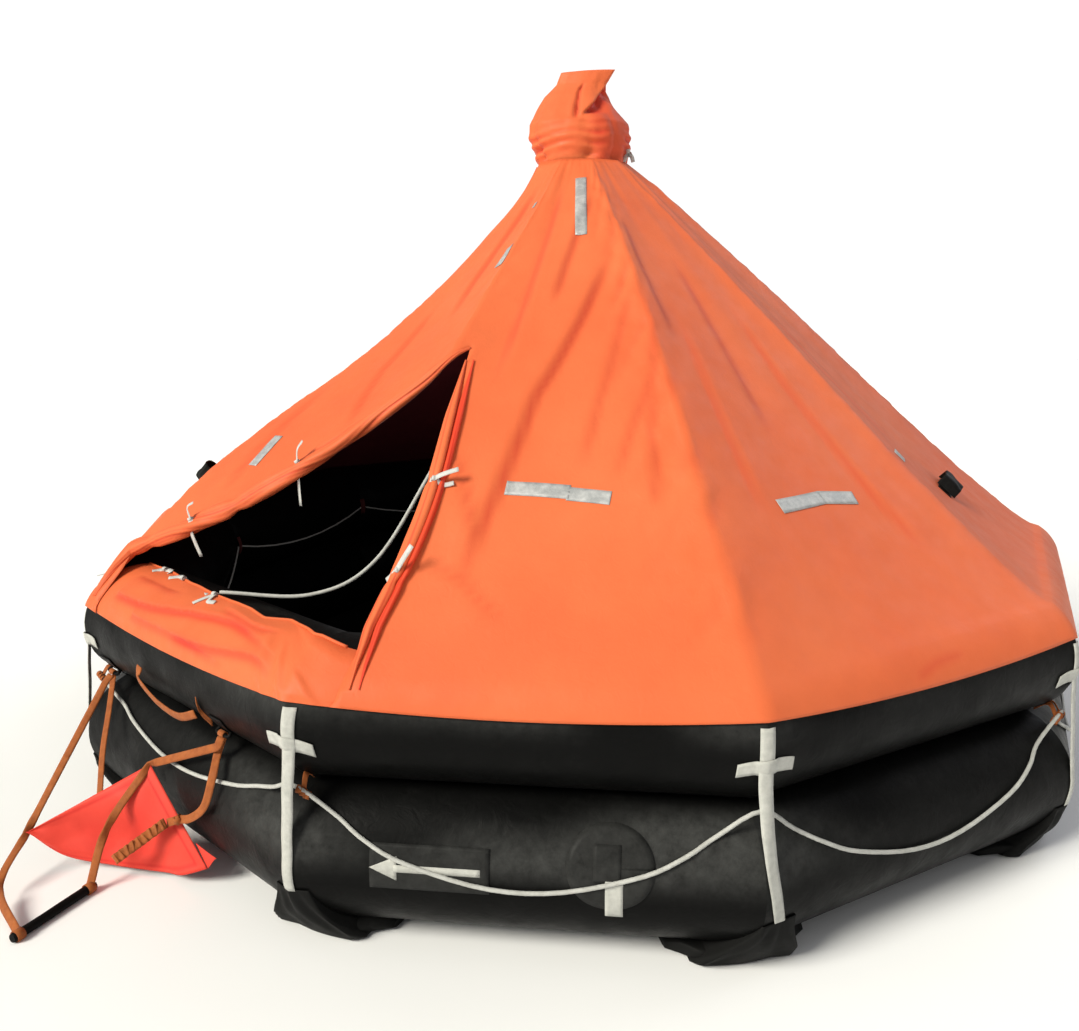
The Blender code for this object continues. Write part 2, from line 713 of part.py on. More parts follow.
def step_cloth(name, left, right, foot, facing):
    """The cloth step, a sheet lofted from its straight top edge to its hanging bottom edge."""
    back = facing * -STEP_OFFSET
    columns = 8
    lower = smooth_route([left, *(Vector(place) for place in STEP_HEM), foot], columns)
    rows = 4
    build = bmesh.new()
    grid = []
    for column, low in enumerate(lower):
        high = left.lerp(right, column / columns)
        line = [high.lerp(low, row / rows) + back for row in range(rows + 1)]
        grid.append([build.verts.new(point) for point in line])
    for here, after in zip(grid, grid[1:]):
        for row in range(rows):
            build.faces.new((here[row], after[row], after[row + 1], here[row + 1]))
    bmesh.ops.remove_doubles(build, verts=build.verts, dist=0.0001)
    mesh = bpy.data.meshes.new(name)
    build.to_mesh(mesh)
    build.free()
    item = add_object(name, mesh)
    thicken = item.modifiers.new("Thickness", "SOLIDIFY")
    thicken.thickness = STEP_CLOTH
    thicken.offset = 0
    return finish(item, (0.84, 0.11, 0.07), 0.65)


def make_vent_collars():
    """Two black collars that stand off the canopy round its vents."""
    for name, (azimuth, height) in VENTS.items():
        turns = (-VENT_HALF_SPAN, VENT_HALF_SPAN)
        feet = [canopy_at(azimuth + turn, height) for turn in turns]
        middle = (feet[0] + feet[1]) / 2
        out = round_raft(radians(azimuth), GORE_SAG_IN, GORE_SAG_DOWN)
        down = round_raft(radians(azimuth), GORE_SAG_DOWN, -GORE_SAG_IN)
        feet = [foot + out * (WEBBING / 2 + 3 * GAP) for foot in feet]
        tops = [foot.lerp(middle, 0.3) + out * VENT_RISE for foot in feet]
        route = smooth_route([feet[0], *tops, feet[1]], 9)
        collar = strap(f"vent_collar_{name}", route, [down] * len(route), VENT_WIDTH)
        black_rubber(collar)


def make_peak():
    """The canopy's top, gathered into a bundle and folded flat at its end."""
    outward = round_raft(PEAK_FACING, 1, 0)
    sideways = round_raft(PEAK_FACING + pi / 2, 1, 0)
    build = bmesh.new()
    rings = []
    for height, half_width, flatness in [PEAK_NECK, *PEAK_RINGS]:
        ring = []
        for i in range(PEAK_SEGMENTS):
            angle = 2 * pi * i / PEAK_SEGMENTS
            place = sideways * half_width * cos(angle) + outward * half_width * flatness * sin(angle)
            ring.append(build.verts.new(place + Vector((0, 0, height))))
        rings.append(ring)
    for lower, upper in zip(rings, rings[1:]):
        for i in range(PEAK_SEGMENTS):
            j = (i + 1) % PEAK_SEGMENTS
            build.faces.new((lower[i], lower[j], upper[j], upper[i]))
    build.faces.new(rings[0][::-1])
    build.faces.new(rings[-1])
    bmesh.ops.recalc_face_normals(build, faces=build.faces)
    mesh = bpy.data.meshes.new("peak_bundle")
    build.to_mesh(mesh)
    build.free()
    orange_cloth(add_object("peak_bundle", mesh))


def build_raft():
    clear_scene()
    make_tubes()
    make_floor()
    upright_roll = make_canopy()
    make_peak()
    make_sill()
    make_corner_straps()
    make_ropes(upright_roll)
    make_anchors()
    make_handle()
    make_ladder()
    make_vent_collars()


build_raft()
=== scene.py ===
from math import cos, degrees, pi, radians, sin, sqrt, tan

import bmesh
import bpy
import numpy as np
from mathutils import Matrix, Vector, noise
from mathutils.bvhtree import BVHTree


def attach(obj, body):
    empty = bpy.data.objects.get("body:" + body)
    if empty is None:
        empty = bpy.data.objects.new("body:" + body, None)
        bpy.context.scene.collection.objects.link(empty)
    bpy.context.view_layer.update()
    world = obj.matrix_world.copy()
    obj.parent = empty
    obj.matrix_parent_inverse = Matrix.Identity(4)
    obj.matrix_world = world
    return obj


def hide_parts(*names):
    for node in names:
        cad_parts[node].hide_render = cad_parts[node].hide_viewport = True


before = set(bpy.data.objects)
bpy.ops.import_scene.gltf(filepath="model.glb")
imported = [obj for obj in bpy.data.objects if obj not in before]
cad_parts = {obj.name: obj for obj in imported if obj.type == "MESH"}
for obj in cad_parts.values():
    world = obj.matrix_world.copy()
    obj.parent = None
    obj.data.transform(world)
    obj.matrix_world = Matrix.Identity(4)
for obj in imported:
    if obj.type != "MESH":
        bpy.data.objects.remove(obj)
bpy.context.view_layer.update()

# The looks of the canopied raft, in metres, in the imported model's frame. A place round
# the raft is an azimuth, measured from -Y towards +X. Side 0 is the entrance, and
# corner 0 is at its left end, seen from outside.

# Driving dimensions, the same as the solids'
SIDES = 10
RING_RADIUS = 1.80
LOWER_TUBE = 0.221
UPPER_TUBE = 0.197
PRESSED = 0.949
UNDERLAY = 0.020
NECK_RADIUS = 0.19
NECK_HEIGHT = 2.28
CLOTH = 0.006
GAP = 0.0003
WEBBING = 0.003
STEP = 2 * pi / SIDES
HALF = STEP / 2
MITRE = 1 / cos(HALF)
APOTHEM = RING_RADIUS * cos(HALF)
LOWER_HEIGHT = UNDERLAY + LOWER_TUBE
BOND_HEIGHT = LOWER_HEIGHT + PRESSED * LOWER_TUBE
UPPER_HEIGHT = BOND_HEIGHT + PRESSED * UPPER_TUBE
TUBE_TOP = UPPER_HEIGHT + UPPER_TUBE

# The canopy's form, with values in degrees and metres for each corner
HEM = radians(23)
HEM_DIP = radians(7)
TAKE_OFF = np.array([45, 45, 45, 57, 57, 57, 57, 57, 57, 57])
CANOPY_BOW = 0.065
GORE_SAG = 0.020
GORE_SAG_IN = 0.65
GORE_SAG_DOWN = 0.76
LOW_SAG = np.array([0.0, 0.0, 0.0, 0.09, 0.095, 0.09, 0.085, 0.08, 0.07, 0.065])
HIGH_SAG = np.array([0.16, 0.02, 0.0, 0.0, 0.0, 0.01, 0.03, 0.06, 0.11, 0.145])
LOW_SAG_POWER = 0.65
SAG_START = 0.15
SAG_FULL = 0.65
SAG_END_POWER = 12
ROWS_ON_TUBE = 3
CANOPY_SWEEP = radians(TAKE_OFF.max()) - HEM + 2 * HEM_DIP
CANOPY_REACH = (UPPER_TUBE + GAP) / cos(CANOPY_SWEEP / ROWS_ON_TUBE / 2) + CLOTH
DOOR_TOP = (20.6, 1.586)
DOOR_SLANT = [(18.0, 1.552), (10.9, 1.420), (-1.1, 1.185), (-10.0, 1.020), (-17.9, 0.900)]
DOOR_UPRIGHT = [(22.4, 1.390), (23.5, 1.200), (23.4, 1.050), (22.6, 0.880)]
SLANT_ROLL = 0.026
UPRIGHT_ROLL = 0.013

# Webbing and ropes
STRAP_WIDTH = 0.038
STRAP_TOP = radians(19)
STRAP_END = radians(-22)
LIFELINE = 0.006
LIFELINE_CORNER = 0.169
LIFELINE_HEIGHT = 0.470
LIFELINE_DROP = 0.235
ENTRANCE_DROP = 0.130
LIFELINE_STOPS = (-1.0, -0.82, -0.69, -0.51, -0.16, 0.16, 0.51, 0.69, 0.82)
ROPE_CLOSES = 0.985
ROPE_BULGE = radians(7.5)
INNER_LINE = 0.004
INNER_LINE_DROP = 0.070
DOOR_ROPE_LEAVES = (-1, 0.2, 0)
DOOR_ROPE = [(0.410, -1.430, 0.967), (0.250, -1.560, 0.856)]
DOOR_ROPE_END = (0.009, -1.730)
MAT_HEIGHT = 0.065
MAST_RADIUS = 0.10

# The boarding ladder
ANCHOR_ANGLE = radians(-43)
ANCHOR_LIFT = 0.017
ANCHOR_X = (-0.519, 0.218)
SLEEVE_RADIUS = 0.010
SLEEVE_LENGTH = 0.028
LADDER_WEBBING = 0.025
RUNG_RADIUS = 0.014
RUNG_TUCK = 0.02
RUNG_LEFT = (0.020, -2.435)
RUNG_RIGHT = (-0.070, -2.170)
STEP_LEFT = (-0.328, -2.259, 0.127)
STEP_RIGHT = (-0.088, -1.960, 0.326)
STEP_FOOT = (0.180, -1.935, 0.064)
STEP_TAB = [(0.122, -1.938, 0.128), (0.194, -1.910, 0.093)]
STEP_HEM = [(-0.250, -2.185, 0.045), (-0.115, -2.085, 0.020), (0.030, -1.998, 0.018),
            (0.110, -1.980, 0.034)]
STRAP_LOW = {"left": (-0.215, -2.385, 0.050), "right": (-0.098, -2.105, 0.165)}
STEP_OFFSET = 0.004

# The grab handle as (along its side, lift, height), and the vents' collars as
# (azimuth in degrees, height)
HANDLE = [(-0.204, 0.0, 0.606), (-0.209, 0.004, 0.584), (-0.197, 0.010, 0.566), (-0.13, 0.012, 0.540),
          (-0.05, 0.012, 0.521), (0.06, 0.010, 0.517), (0.148, 0.002, 0.548)]
VENTS = {"left": (-23.5, 1.12), "right": (105.0, 1.06)}
VENT_HALF_SPAN = 2.6
VENT_RISE = 0.05
VENT_WIDTH = 0.10

# The floor
FLOOR_LIP = 0.03
POCKET_LIP = 0.125
POCKET_DEPTH = 0.20
POCKET_BACK = 0.085
POCKET_HALF = 0.20


def smoothstep(x, low, high):
    """0 below `low`, 1 above `high`, and a soft step between."""
    t = np.clip((np.asarray(x, float) - low) / (high - low), 0, 1)
    return t * t * (3 - 2 * t)


def bell(x, width):
    """1 at nought, and soon nothing beyond `width` to either side."""
    return np.exp(-(x / width) ** 2)


def corner_azimuth(corner):
    """Where a corner stands: it is the one at its side's left end, seen from outside."""
    return (corner - 0.5) * STEP


def round_raft(azimuth, radius, height):
    """Points at an azimuth, a radius and a height."""
    azimuth, radius, height = np.broadcast_arrays(azimuth, radius, height)
    return np.stack((radius * np.sin(azimuth), -radius * np.cos(azimuth), height), axis=-1)


def on_side(side, along, out, height):
    """Points `along` a side from its middle and `out` from the raft's axis."""
    along, out, height = np.broadcast_arrays(along, out, height)
    azimuth = side * STEP
    x = out * np.sin(azimuth) + along * np.cos(azimuth)
    y = -out * np.cos(azimuth) + along * np.sin(azimuth)
    return np.stack((x, y, height), axis=-1)


def ridge_sag(corner, v):
    """How far a ridge hangs below its bow at v."""
    t = np.clip(v, 0, 1)
    high = smoothstep(t, SAG_START, SAG_FULL) * (1 - t ** SAG_END_POWER)
    low = np.sin(pi * t ** LOW_SAG_POWER)
    return LOW_SAG[corner % SIDES] * low + HIGH_SAG[corner % SIDES] * high


def ridge_point(corner, u, v, inset, take_off):
    """A ridge's (radius, height) arrays: v is -1 at the hem, 0 off the tube, 1 at the neck."""
    hem = HEM - HEM_DIP * (1 - (2 * u - 1) ** 2)
    angle = hem + (take_off - hem) * (1 + np.minimum(v, 0))
    held_radius = RING_RADIUS + (CANOPY_REACH - inset) * np.cos(angle) * MITRE
    held_height = UPPER_HEIGHT + (CANOPY_REACH - inset) * np.sin(angle)
    foot_radius = RING_RADIUS + CANOPY_REACH * np.cos(take_off) * MITRE
    foot_height = UPPER_HEIGHT + CANOPY_REACH * np.sin(take_off)
    rise = NECK_HEIGHT - foot_height
    run = foot_radius - NECK_RADIUS
    length = np.hypot(rise, run)
    free_radius = foot_radius - run * v - inset * rise / length * MITRE
    bow = CANOPY_BOW * np.sin(pi * np.clip(v, 0, 1)) - ridge_sag(corner, v)
    free_height = foot_height + rise * v + bow - inset * run / length
    return np.where(v < 0, held_radius, free_radius), np.where(v < 0, held_height, free_height)


def canopy_point(side, u, v, inset=0.0):
    """The canopy's surface on a gore: u is 0 at its left ridge and 1 at its right."""
    side, u, v = np.broadcast_arrays(side, np.asarray(u, float), np.asarray(v, float))
    starts, ends = TAKE_OFF[side % SIDES], TAKE_OFF[(side + 1) % SIDES]
    take_off = np.radians(starts + (ends - starts) * u)
    left = round_raft(corner_azimuth(side), *ridge_point(side, u, v, inset, take_off))
    right = round_raft(corner_azimuth(side + 1), *ridge_point(side + 1, u, v, inset, take_off))
    point = left + (right - left) * u[..., None]
    dip = GORE_SAG * np.sin(pi * np.clip(v, 0, 1)) * (1 - (2 * u - 1) ** 2)
    return point - round_raft(side * STEP, dip * GORE_SAG_IN, dip * GORE_SAG_DOWN)


def canopy_place(azimuth, height):
    """The gore, u and v of the canopy at an azimuth in degrees and a height."""
    side = round(radians(azimuth) / STEP)
    u = (1 + tan(radians(azimuth) - side * STEP) / tan(HALF)) / 2
    low, high = -1.0, 1.0
    for _ in range(40):
        middle = (low + high) / 2
        if canopy_point(side, u, middle)[2] < height:
            low = middle
        else:
            high = middle
    return side, u, low


def canopy_at(azimuth, height, inset=0.0):
    """The canopy's surface at an azimuth in degrees and a height."""
    return Vector(canopy_point(*canopy_place(azimuth, height), inset))


def canopy_facing(azimuth, height):
    """Which way the canopy faces there."""
    across = canopy_at(azimuth + 0.5, height) - canopy_at(azimuth - 0.5, height)
    up = canopy_at(azimuth, height + 0.01) - canopy_at(azimuth, height - 0.01)
    return across.cross(up).normalized()


def smooth_route(points, count):
    """Points read evenly from a smooth curve through a few route points."""
    points = [Vector(point) for point in points]
    ends = [points[0] * 2 - points[1], *points, points[-1] * 2 - points[-2]]
    route = []
    for i in range(count + 1):
        place = i * (len(points) - 1) / count
        first = min(int(place), len(points) - 2)
        t = place - first
        before, start, end, after = ends[first:first + 4]
        route.append(
            (
                start * 2
                + (end - before) * t
                + (before * 2 - start * 5 + end * 4 - after) * t ** 2
                + (start * 3 - before - end * 3 + after) * t ** 3
            )
            / 2
        )
    return route


def evenly(route, spacing):
    """The same route, read again at an even spacing."""
    points = np.array(route, float)
    steps = np.linalg.norm(np.diff(points, axis=0), axis=1)
    reached = np.concatenate(([0], np.cumsum(steps)))
    count = max(int(round(reached[-1] / spacing)), 2)
    wanted = np.linspace(0, reached[-1], count + 1)
    return np.stack([np.interp(wanted, reached, points[:, i]) for i in range(3)], axis=-1)


def length_of(route):
    """A route's length."""
    return float(np.linalg.norm(np.diff(np.array(route, float), axis=0), axis=1).sum())


def faces_of(item):
    """A surface's faces, ready for finding where a ray meets them."""
    return BVHTree.FromPolygons([vertex.co for vertex in item.data.vertices],
                                [tuple(face.vertices) for face in item.data.polygons])


def mesh_object(name, points, faces, material):
    """A smooth-shaded object from points and faces."""
    mesh = bpy.data.meshes.new(name)
    mesh.from_pydata([tuple(point) for point in points], [], faces)
    mesh.polygons.foreach_set("use_smooth", [True] * len(mesh.polygons))
    mesh.materials.append(material)
    item = bpy.data.objects.new(name, mesh)
    bpy.context.scene.collection.objects.link(item)
    return item


def paint_light_and_dust(item, amounts):
    """Store each point's painted light: shade painted redder in a cloth's folds, and dust with a painted
    sheen on rubber.
    """
    # The attribute "fold" holds painted shade on cloth, and dust with a painted sheen on rubber
    layer = item.data.attributes.new("fold", "FLOAT", "POINT")
    layer.data.foreach_set("value", np.clip(amounts, 0, 1).ravel())


def grid_object(name, grid, material, around=False, keep=None, closed=False, painted_light_and_dust=None):
    """A surface from rows of points.

    `around` joins each row's ends, `closed` joins the last row to the first, `keep` says which
    faces are left where some are cut away, and the last argument holds each point's painted light:
    shade painted on cloth, dust with a painted sheen on rubber.
    """
    rows, columns = grid.shape[:2]
    faces = []
    for r in range(rows if closed else rows - 1):
        for c in range(columns if around else columns - 1):
            if keep is None or keep[r, c]:
                s, d = (r + 1) % rows, (c + 1) % columns
                faces.append((r * columns + c, r * columns + d, s * columns + d, s * columns + c))
    item = mesh_object(name, grid.reshape(-1, 3), faces, material)
    if painted_light_and_dust is not None:
        paint_light_and_dust(item, painted_light_and_dust)
    if keep is not None:
        build = bmesh.new()
        build.from_mesh(item.data)
        loose = [vertex for vertex in build.verts if not vertex.link_faces]
        bmesh.ops.delete(build, geom=loose, context="VERTS")
        build.to_mesh(item.data)
        build.free()
    return item


def grids_object(name, grids, material, around=False):
    """One object from several separate surfaces of points."""
    points, faces = [], []
    for grid in grids:
        rows, columns = grid.shape[:2]
        first = len(points)
        points += list(grid.reshape(-1, 3))
        for r in range(rows - 1):
            for c in range(columns if around else columns - 1):
                d = (c + 1) % columns
                here, above = first + r * columns, first + (r + 1) * columns
                faces.append((here + c, here + d, above + d, above + c))
    return mesh_object(name, points, faces, material)


def thicken(item, thickness, offset=0.0, lining=None):
    """Give a sheet its thickness, with another material on its back where there is one."""
    solid = item.modifiers.new("Thickness", "SOLIDIFY")
    solid.thickness = thickness
    solid.offset = offset
    if lining is not None:
        item.data.materials.append(lining)
        solid.material_offset = 1
    return item


def finished(item, body="raft", replaces=()):
    """Hang a piece on the empty of the body that it rides on, and hide the parts that it stands for."""
    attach(item, body)
    if replaces:
        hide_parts(*replaces)
    return item


def thin_piece(name, grids, material, thickness, offset=0.0, body="raft", replaces=()):
    """A piece of thin material from grids of points. An `offset` of 1 puts all of it outside them."""
    item = thicken(grids_object(name, grids, material), thickness, offset)
    return finished(item, body, replaces)


def frames_along(route):
    """Each point's direction of travel and two directions across it, without twist."""
    points = np.array(route, float)
    ways = np.gradient(points, axis=0)
    ways /= np.linalg.norm(ways, axis=1)[:, None]
    side = np.cross(ways[0], (0, 0, 1))
    if np.linalg.norm(side) < 0.1:
        side = np.cross(ways[0], (1, 0, 0))
    first = []
    for way in ways:
        side = side - way * side.dot(way)
        side = side / np.linalg.norm(side)
        first.append(side)
    first = np.array(first)
    return ways, first, np.cross(ways, first)


def capped(item, rings, sides):
    """Close both ends of a tube made of rings."""
    build = bmesh.new()
    build.from_mesh(item.data)
    build.verts.ensure_lookup_table()
    build.faces.new([build.verts[i] for i in range(sides)][::-1])
    build.faces.new([build.verts[(rings - 1) * sides + i] for i in range(sides)])
    bmesh.ops.recalc_face_normals(build, faces=build.faces)
    build.to_mesh(item.data)
    build.free()
    return item


def round_bar(name, route, radius, material, sides=12, shape=None, tint=None):
    """A round piece along a route. `shape` scales the radius and `tint` gives the painted shade, both from
    place (0 to 1) and angle.
    """
    points = np.array(route, float)
    _, first, second = frames_along(points)
    angle = np.linspace(0, 2 * pi, sides, endpoint=False)[None, :]
    place = np.linspace(0, 1, len(points))[:, None]
    reach = radius * (shape(place, angle) if shape else np.ones((len(points), sides)))
    grid = (
        points[:, None, :]
        + first[:, None, :] * (reach * np.cos(angle))[..., None]
        + second[:, None, :] * (reach * np.sin(angle))[..., None]
    )
    item = grid_object(name, grid, material, around=True, painted_light_and_dust=tint(place, angle) if tint else None)
    return capped(item, len(points), sides)


def ribbon_grid(route, across, width, columns=4, crown=0.0):
    """Rows of points over webbing along a route."""
    points = np.array(route, float)
    across = np.array(across, float)
    across = across / np.linalg.norm(across, axis=1)[:, None]
    part = np.linspace(-0.5, 0.5, columns + 1)
    grid = points[:, None, :] + across[:, None, :] * (part * width)[None, :, None]
    if crown:
        facing = np.cross(across, np.gradient(points, axis=0))
        facing /= np.linalg.norm(facing, axis=1)[:, None]
        grid = grid + facing[:, None, :] * (crown * (1 - 4 * part ** 2))[None, :, None]
    return grid


# A laid rope's strands, with their depth and their middle as parts of its radius
STRANDS = 3
STRAND_DEPTH = 0.08
STRAND_MIDDLE = 0.7


def laid_rope(name, route, radius, material, lay, spacing):
    """A rope of three strands laid round each other, each turning once in a length of `lay`."""
    points = evenly(route, spacing)
    turns = 2 * pi * length_of(points) / lay

    def strands(place, angle):
        return 1 + STRAND_DEPTH * (np.abs(np.cos(STRANDS / 2 * (angle - turns * place))) - STRAND_MIDDLE)

    return round_bar(name, points, radius, material, 12, strands), points


def loop_grid(centre, axis, radius, width, count=20):
    """Webbing wound once round an axis."""
    axis = Vector(axis).normalized()
    first = axis.orthogonal().normalized()
    second = axis.cross(first)
    route = []
    for i in range(count + 1):
        angle = 2 * pi * i / count
        route.append(Vector(centre) + (first * cos(angle) + second * sin(angle)) * radius)
    return ribbon_grid(route, [tuple(axis)] * len(route), width, 2)


# Materials

class Tree:
    """A material's node tree, with short calls for the nodes that this scene uses."""

    def __init__(self, name, roughness, metallic=0.0, sheen=0.0, specular=0.5):
        self.material = bpy.data.materials.new(name)
        self.material.use_nodes = True
        self.nodes = self.material.node_tree.nodes
        self.links = self.material.node_tree.links
        self.shader = self.nodes["Principled BSDF"]
        self.shader.inputs["Roughness"].default_value = roughness
        self.shader.inputs["Metallic"].default_value = metallic
        self.shader.inputs["Sheen Weight"].default_value = sheen
        self.shader.inputs["Specular IOR Level"].default_value = specular
        self.place = self.nodes.new("ShaderNodeTexCoord").outputs["Object"]

    def put(self, kind, link=None, **settings):
        """A new node: `link` joins outputs to its inputs, the rest are its settings or inputs."""
        node = self.nodes.new(kind)
        for key, value in settings.items():
            if hasattr(node, key):
                setattr(node, key, value)
            else:
                node.inputs[key.replace("_", " ")].default_value = value
        for key, output in (link or {}).items():
            self.links.new(output, node.inputs[key])
        return node

    def noise(self, scale, detail=3.0, roughness=0.55, distortion=0.0):
        """Fractal noise, from 0 to 1."""
        node = self.put("ShaderNodeTexNoise", {"Vector": self.place}, Scale=scale, Detail=detail,
                        Roughness=roughness, Distortion=distortion)
        return node.outputs["Fac"]

    def waves(self, scale, direction):
        """Straight bands across one direction."""
        node = self.put("ShaderNodeTexWave", {"Vector": self.place}, bands_direction=direction,
                        Scale=scale, Distortion=0.0)
        return node.outputs["Fac"]

    def painted_light_and_dust(self):
        """The painted light and dust that the sheet gave each point: painted shade on cloth, dust with a
        painted sheen on rubber.
        """
        return self.put("ShaderNodeAttribute", attribute_name="fold").outputs["Fac"]

    def ramp(self, factor, *stops):
        """A colour ramp from (place, colour or grey) stops."""
        node = self.put("ShaderNodeValToRGB", {"Fac": factor})
        ramp = node.color_ramp
        while len(ramp.elements) < len(stops):
            ramp.elements.new(0.5)
        for element, (place, colour) in zip(ramp.elements, stops):
            element.position = place
            if not hasattr(colour, "__len__"):
                colour = (colour, colour, colour)
            element.color = (*colour, 1)
        return node.outputs["Color"]

    def mixed(self, factor, first, second):
        """A mix of two colours: each value is a constant or another node's output."""
        node = self.nodes.new("ShaderNodeMix")
        node.data_type = "RGBA"
        for socket, value in zip((node.inputs[0], node.inputs[6], node.inputs[7]),
                                 (factor, first, second)):
            if isinstance(value, bpy.types.NodeSocket):
                self.links.new(value, socket)
            elif hasattr(value, "__len__"):
                socket.default_value = (*value, 1)
            else:
                socket.default_value = value
        return node.outputs[2]

    def joined(self, first, second, operation="MULTIPLY"):
        """Two values multiplied, or put together by another operation."""
        node = self.put("ShaderNodeMath", operation=operation)
        for socket, value in zip(node.inputs, (first, second)):
            if isinstance(value, bpy.types.NodeSocket):
                self.links.new(value, socket)
            else:
                socket.default_value = value
        return node.outputs[0]

    def spread(self, factor, middle, below, above):
        """A shader roughness that varies round its middle value."""
        low, high = (0.3, middle - below), (0.7, middle + above)
        self.links.new(self.ramp(factor, low, high), self.shader.inputs["Roughness"])

    def colour(self, output):
        """Give the shader its colour."""
        self.links.new(output, self.shader.inputs["Base Color"])

    def bump(self, height, strength, distance, before=None):
        """Relief finer than the mesh, on top of what came `before`."""
        link = {"Height": height}
        if before is not None:
            link["Normal"] = before
        node = self.put("ShaderNodeBump", link, Strength=strength, Distance=distance)
        self.links.new(node.outputs["Normal"], self.shader.inputs["Normal"])
        return node.outputs["Normal"]


def weave(tree, spacing):
    """A plain weave's height, from crossed waves in all three directions."""
    rows, columns, depth = (tree.waves(0.5 / spacing, direction) for direction in "XZY")
    return tree.joined(tree.joined(rows, columns), depth)


# Each thread's spacing, the tint of the shade painted into folds, and how dark its soiling is
THREAD = 0.0011
PAINTED_SHADE_TINT = (0.80, 0.32, 0.45)
SOILED = 0.62


def coated_cloth(name, light, base, dark, roughness=0.55):
    """Thin coated cloth: slow colour drift, small creases, faint soiling, a fine weave, and shade painted
    redder in its folds.
    """
    tree = Tree(name, roughness, sheen=0.01, specular=0.22)
    drift = tree.ramp(tree.noise(scale=1.7, detail=4), (0.3, dark), (0.5, base), (0.72, light))
    soil = tree.ramp(tree.noise(scale=9, detail=6, roughness=0.65), (0.35, 0.0), (0.8, 0.16))
    soiled = tree.mixed(soil, drift, tuple(channel * SOILED for channel in base))
    painted_shade_colour = tuple(channel * tint for channel, tint in zip(base, PAINTED_SHADE_TINT))
    tree.colour(tree.mixed(tree.painted_light_and_dust(), soiled, painted_shade_colour))
    tree.spread(tree.noise(scale=14, detail=4), roughness, 0.08, 0.08)
    creases = tree.noise(scale=30, detail=5, roughness=0.6, distortion=1.2)
    creased = tree.bump(creases, strength=0.25, distance=0.004)
    tree.bump(weave(tree, THREAD), strength=0.22, distance=THREAD / 3, before=creased)
    return tree.material


RUBBER_THREAD = 0.0012
BLACK_TINT = (1, 1, 0.97)
CHALK_TINT = (1, 0.98, 0.94)
# The colour of settled dust, which on the tubes also stands in for a painted sheen
DUST_AND_SHEEN_COLOUR = (0.085, 0.086, 0.083)


def rubber(name, base=0.0032, dusty=0.020, roughness=0.40):
    """Black rubber-coated cloth with chalky rubs, faint creases, and settled dust that carries a painted
    sheen on the tubes.
    """
    tree = Tree(name, roughness, specular=0.06)
    rubs = tree.ramp(tree.noise(scale=6, detail=8, roughness=0.7, distortion=0.6), (0.50, 0.0), (0.86, 1.0))
    fine = tree.ramp(tree.noise(scale=55, detail=5, roughness=0.7), (0.45, 0.0), (0.75, 0.55))
    black, chalk = (tuple(grey * channel for channel in tint)
                    for grey, tint in ((base, BLACK_TINT), (dusty, CHALK_TINT)))
    chalky = tree.mixed(tree.joined(rubs, fine), black, chalk)
    patchy = tree.ramp(tree.noise(scale=24, detail=6, roughness=0.7), (0.3, 0.35), (0.7, 1.0))
    tree.colour(tree.mixed(tree.joined(tree.painted_light_and_dust(), patchy), chalky, DUST_AND_SHEEN_COLOUR))
    tree.spread(tree.noise(scale=9, detail=5), roughness, 0.08, 0.14)
    creases = tree.noise(scale=16, detail=6, roughness=0.6, distortion=1.5)
    creased = tree.bump(creases, strength=0.28, distance=0.006)
    tree.bump(weave(tree, RUBBER_THREAD), strength=0.15, distance=RUBBER_THREAD / 4, before=creased)
    return tree.material


def webbing(name, base, dark, ribs=0.0028, roughness=0.72):
    """Woven webbing with fine ribs, fuzz and a little soiling."""
    tree = Tree(name, roughness, sheen=0.04, specular=0.25)
    soil = tree.ramp(tree.noise(scale=40, detail=5, roughness=0.65), (0.35, 0.0), (0.75, 1.0))
    tree.colour(tree.mixed(soil, base, dark))
    tree.spread(tree.noise(scale=60, detail=4), roughness, 0.1, 0.1)
    fuzzy = tree.joined(weave(tree, ribs), tree.noise(scale=700), "ADD")
    tree.bump(fuzzy, strength=0.55, distance=0.0006)
    return tree.material


ORANGE = (0.72, 0.142, 0.046)
ORANGE_LIGHT = (0.74, 0.160, 0.054)
ORANGE_DARK = (0.69, 0.124, 0.040)
canopy_cloth = coated_cloth("canopy_cloth", ORANGE_LIGHT, ORANGE, ORANGE_DARK)
lining_cloth = coated_cloth("lining_cloth", (0.17, 0.022, 0.026), (0.14, 0.018, 0.022),
                            (0.11, 0.014, 0.018), 0.6)
roll_cloth = coated_cloth("roll_cloth", (0.74, 0.075, 0.026), (0.70, 0.060, 0.022),
                          (0.64, 0.050, 0.018), 0.55)
step_cloth = coated_cloth("step_cloth", (0.78, 0.066, 0.042), (0.74, 0.056, 0.035),
                          (0.68, 0.048, 0.029), 0.6)
tube_rubber = rubber("tube_rubber")
patch_rubber = rubber("patch_rubber", 0.006, 0.035, 0.36)
floor_rubber = rubber("floor_rubber", 0.006, 0.04, 0.5)
pocket_cloth = rubber("pocket_cloth", 0.009, 0.04, 0.6)
trim_rubber = rubber("trim_rubber", 0.006, 0.035, 0.42)
rung_cover = rubber("rung_cover", 0.005, 0.03, 0.5)
white_webbing = webbing("white_webbing", (0.52, 0.52, 0.48), (0.38, 0.38, 0.35))
brown_webbing = webbing("brown_webbing", (0.38, 0.108, 0.024), (0.25, 0.062, 0.014), 0.0022)
white_tape = webbing("white_tape", (0.62, 0.62, 0.59), (0.48, 0.48, 0.46), 0.0014)
rope_fibre = webbing("rope_fibre", (0.52, 0.52, 0.49), (0.38, 0.38, 0.35), 0.0012)
mast_cloth = coated_cloth("mast_cloth", (0.11, 0.022, 0.022), (0.09, 0.017, 0.017),
                          (0.07, 0.013, 0.013), 0.6)


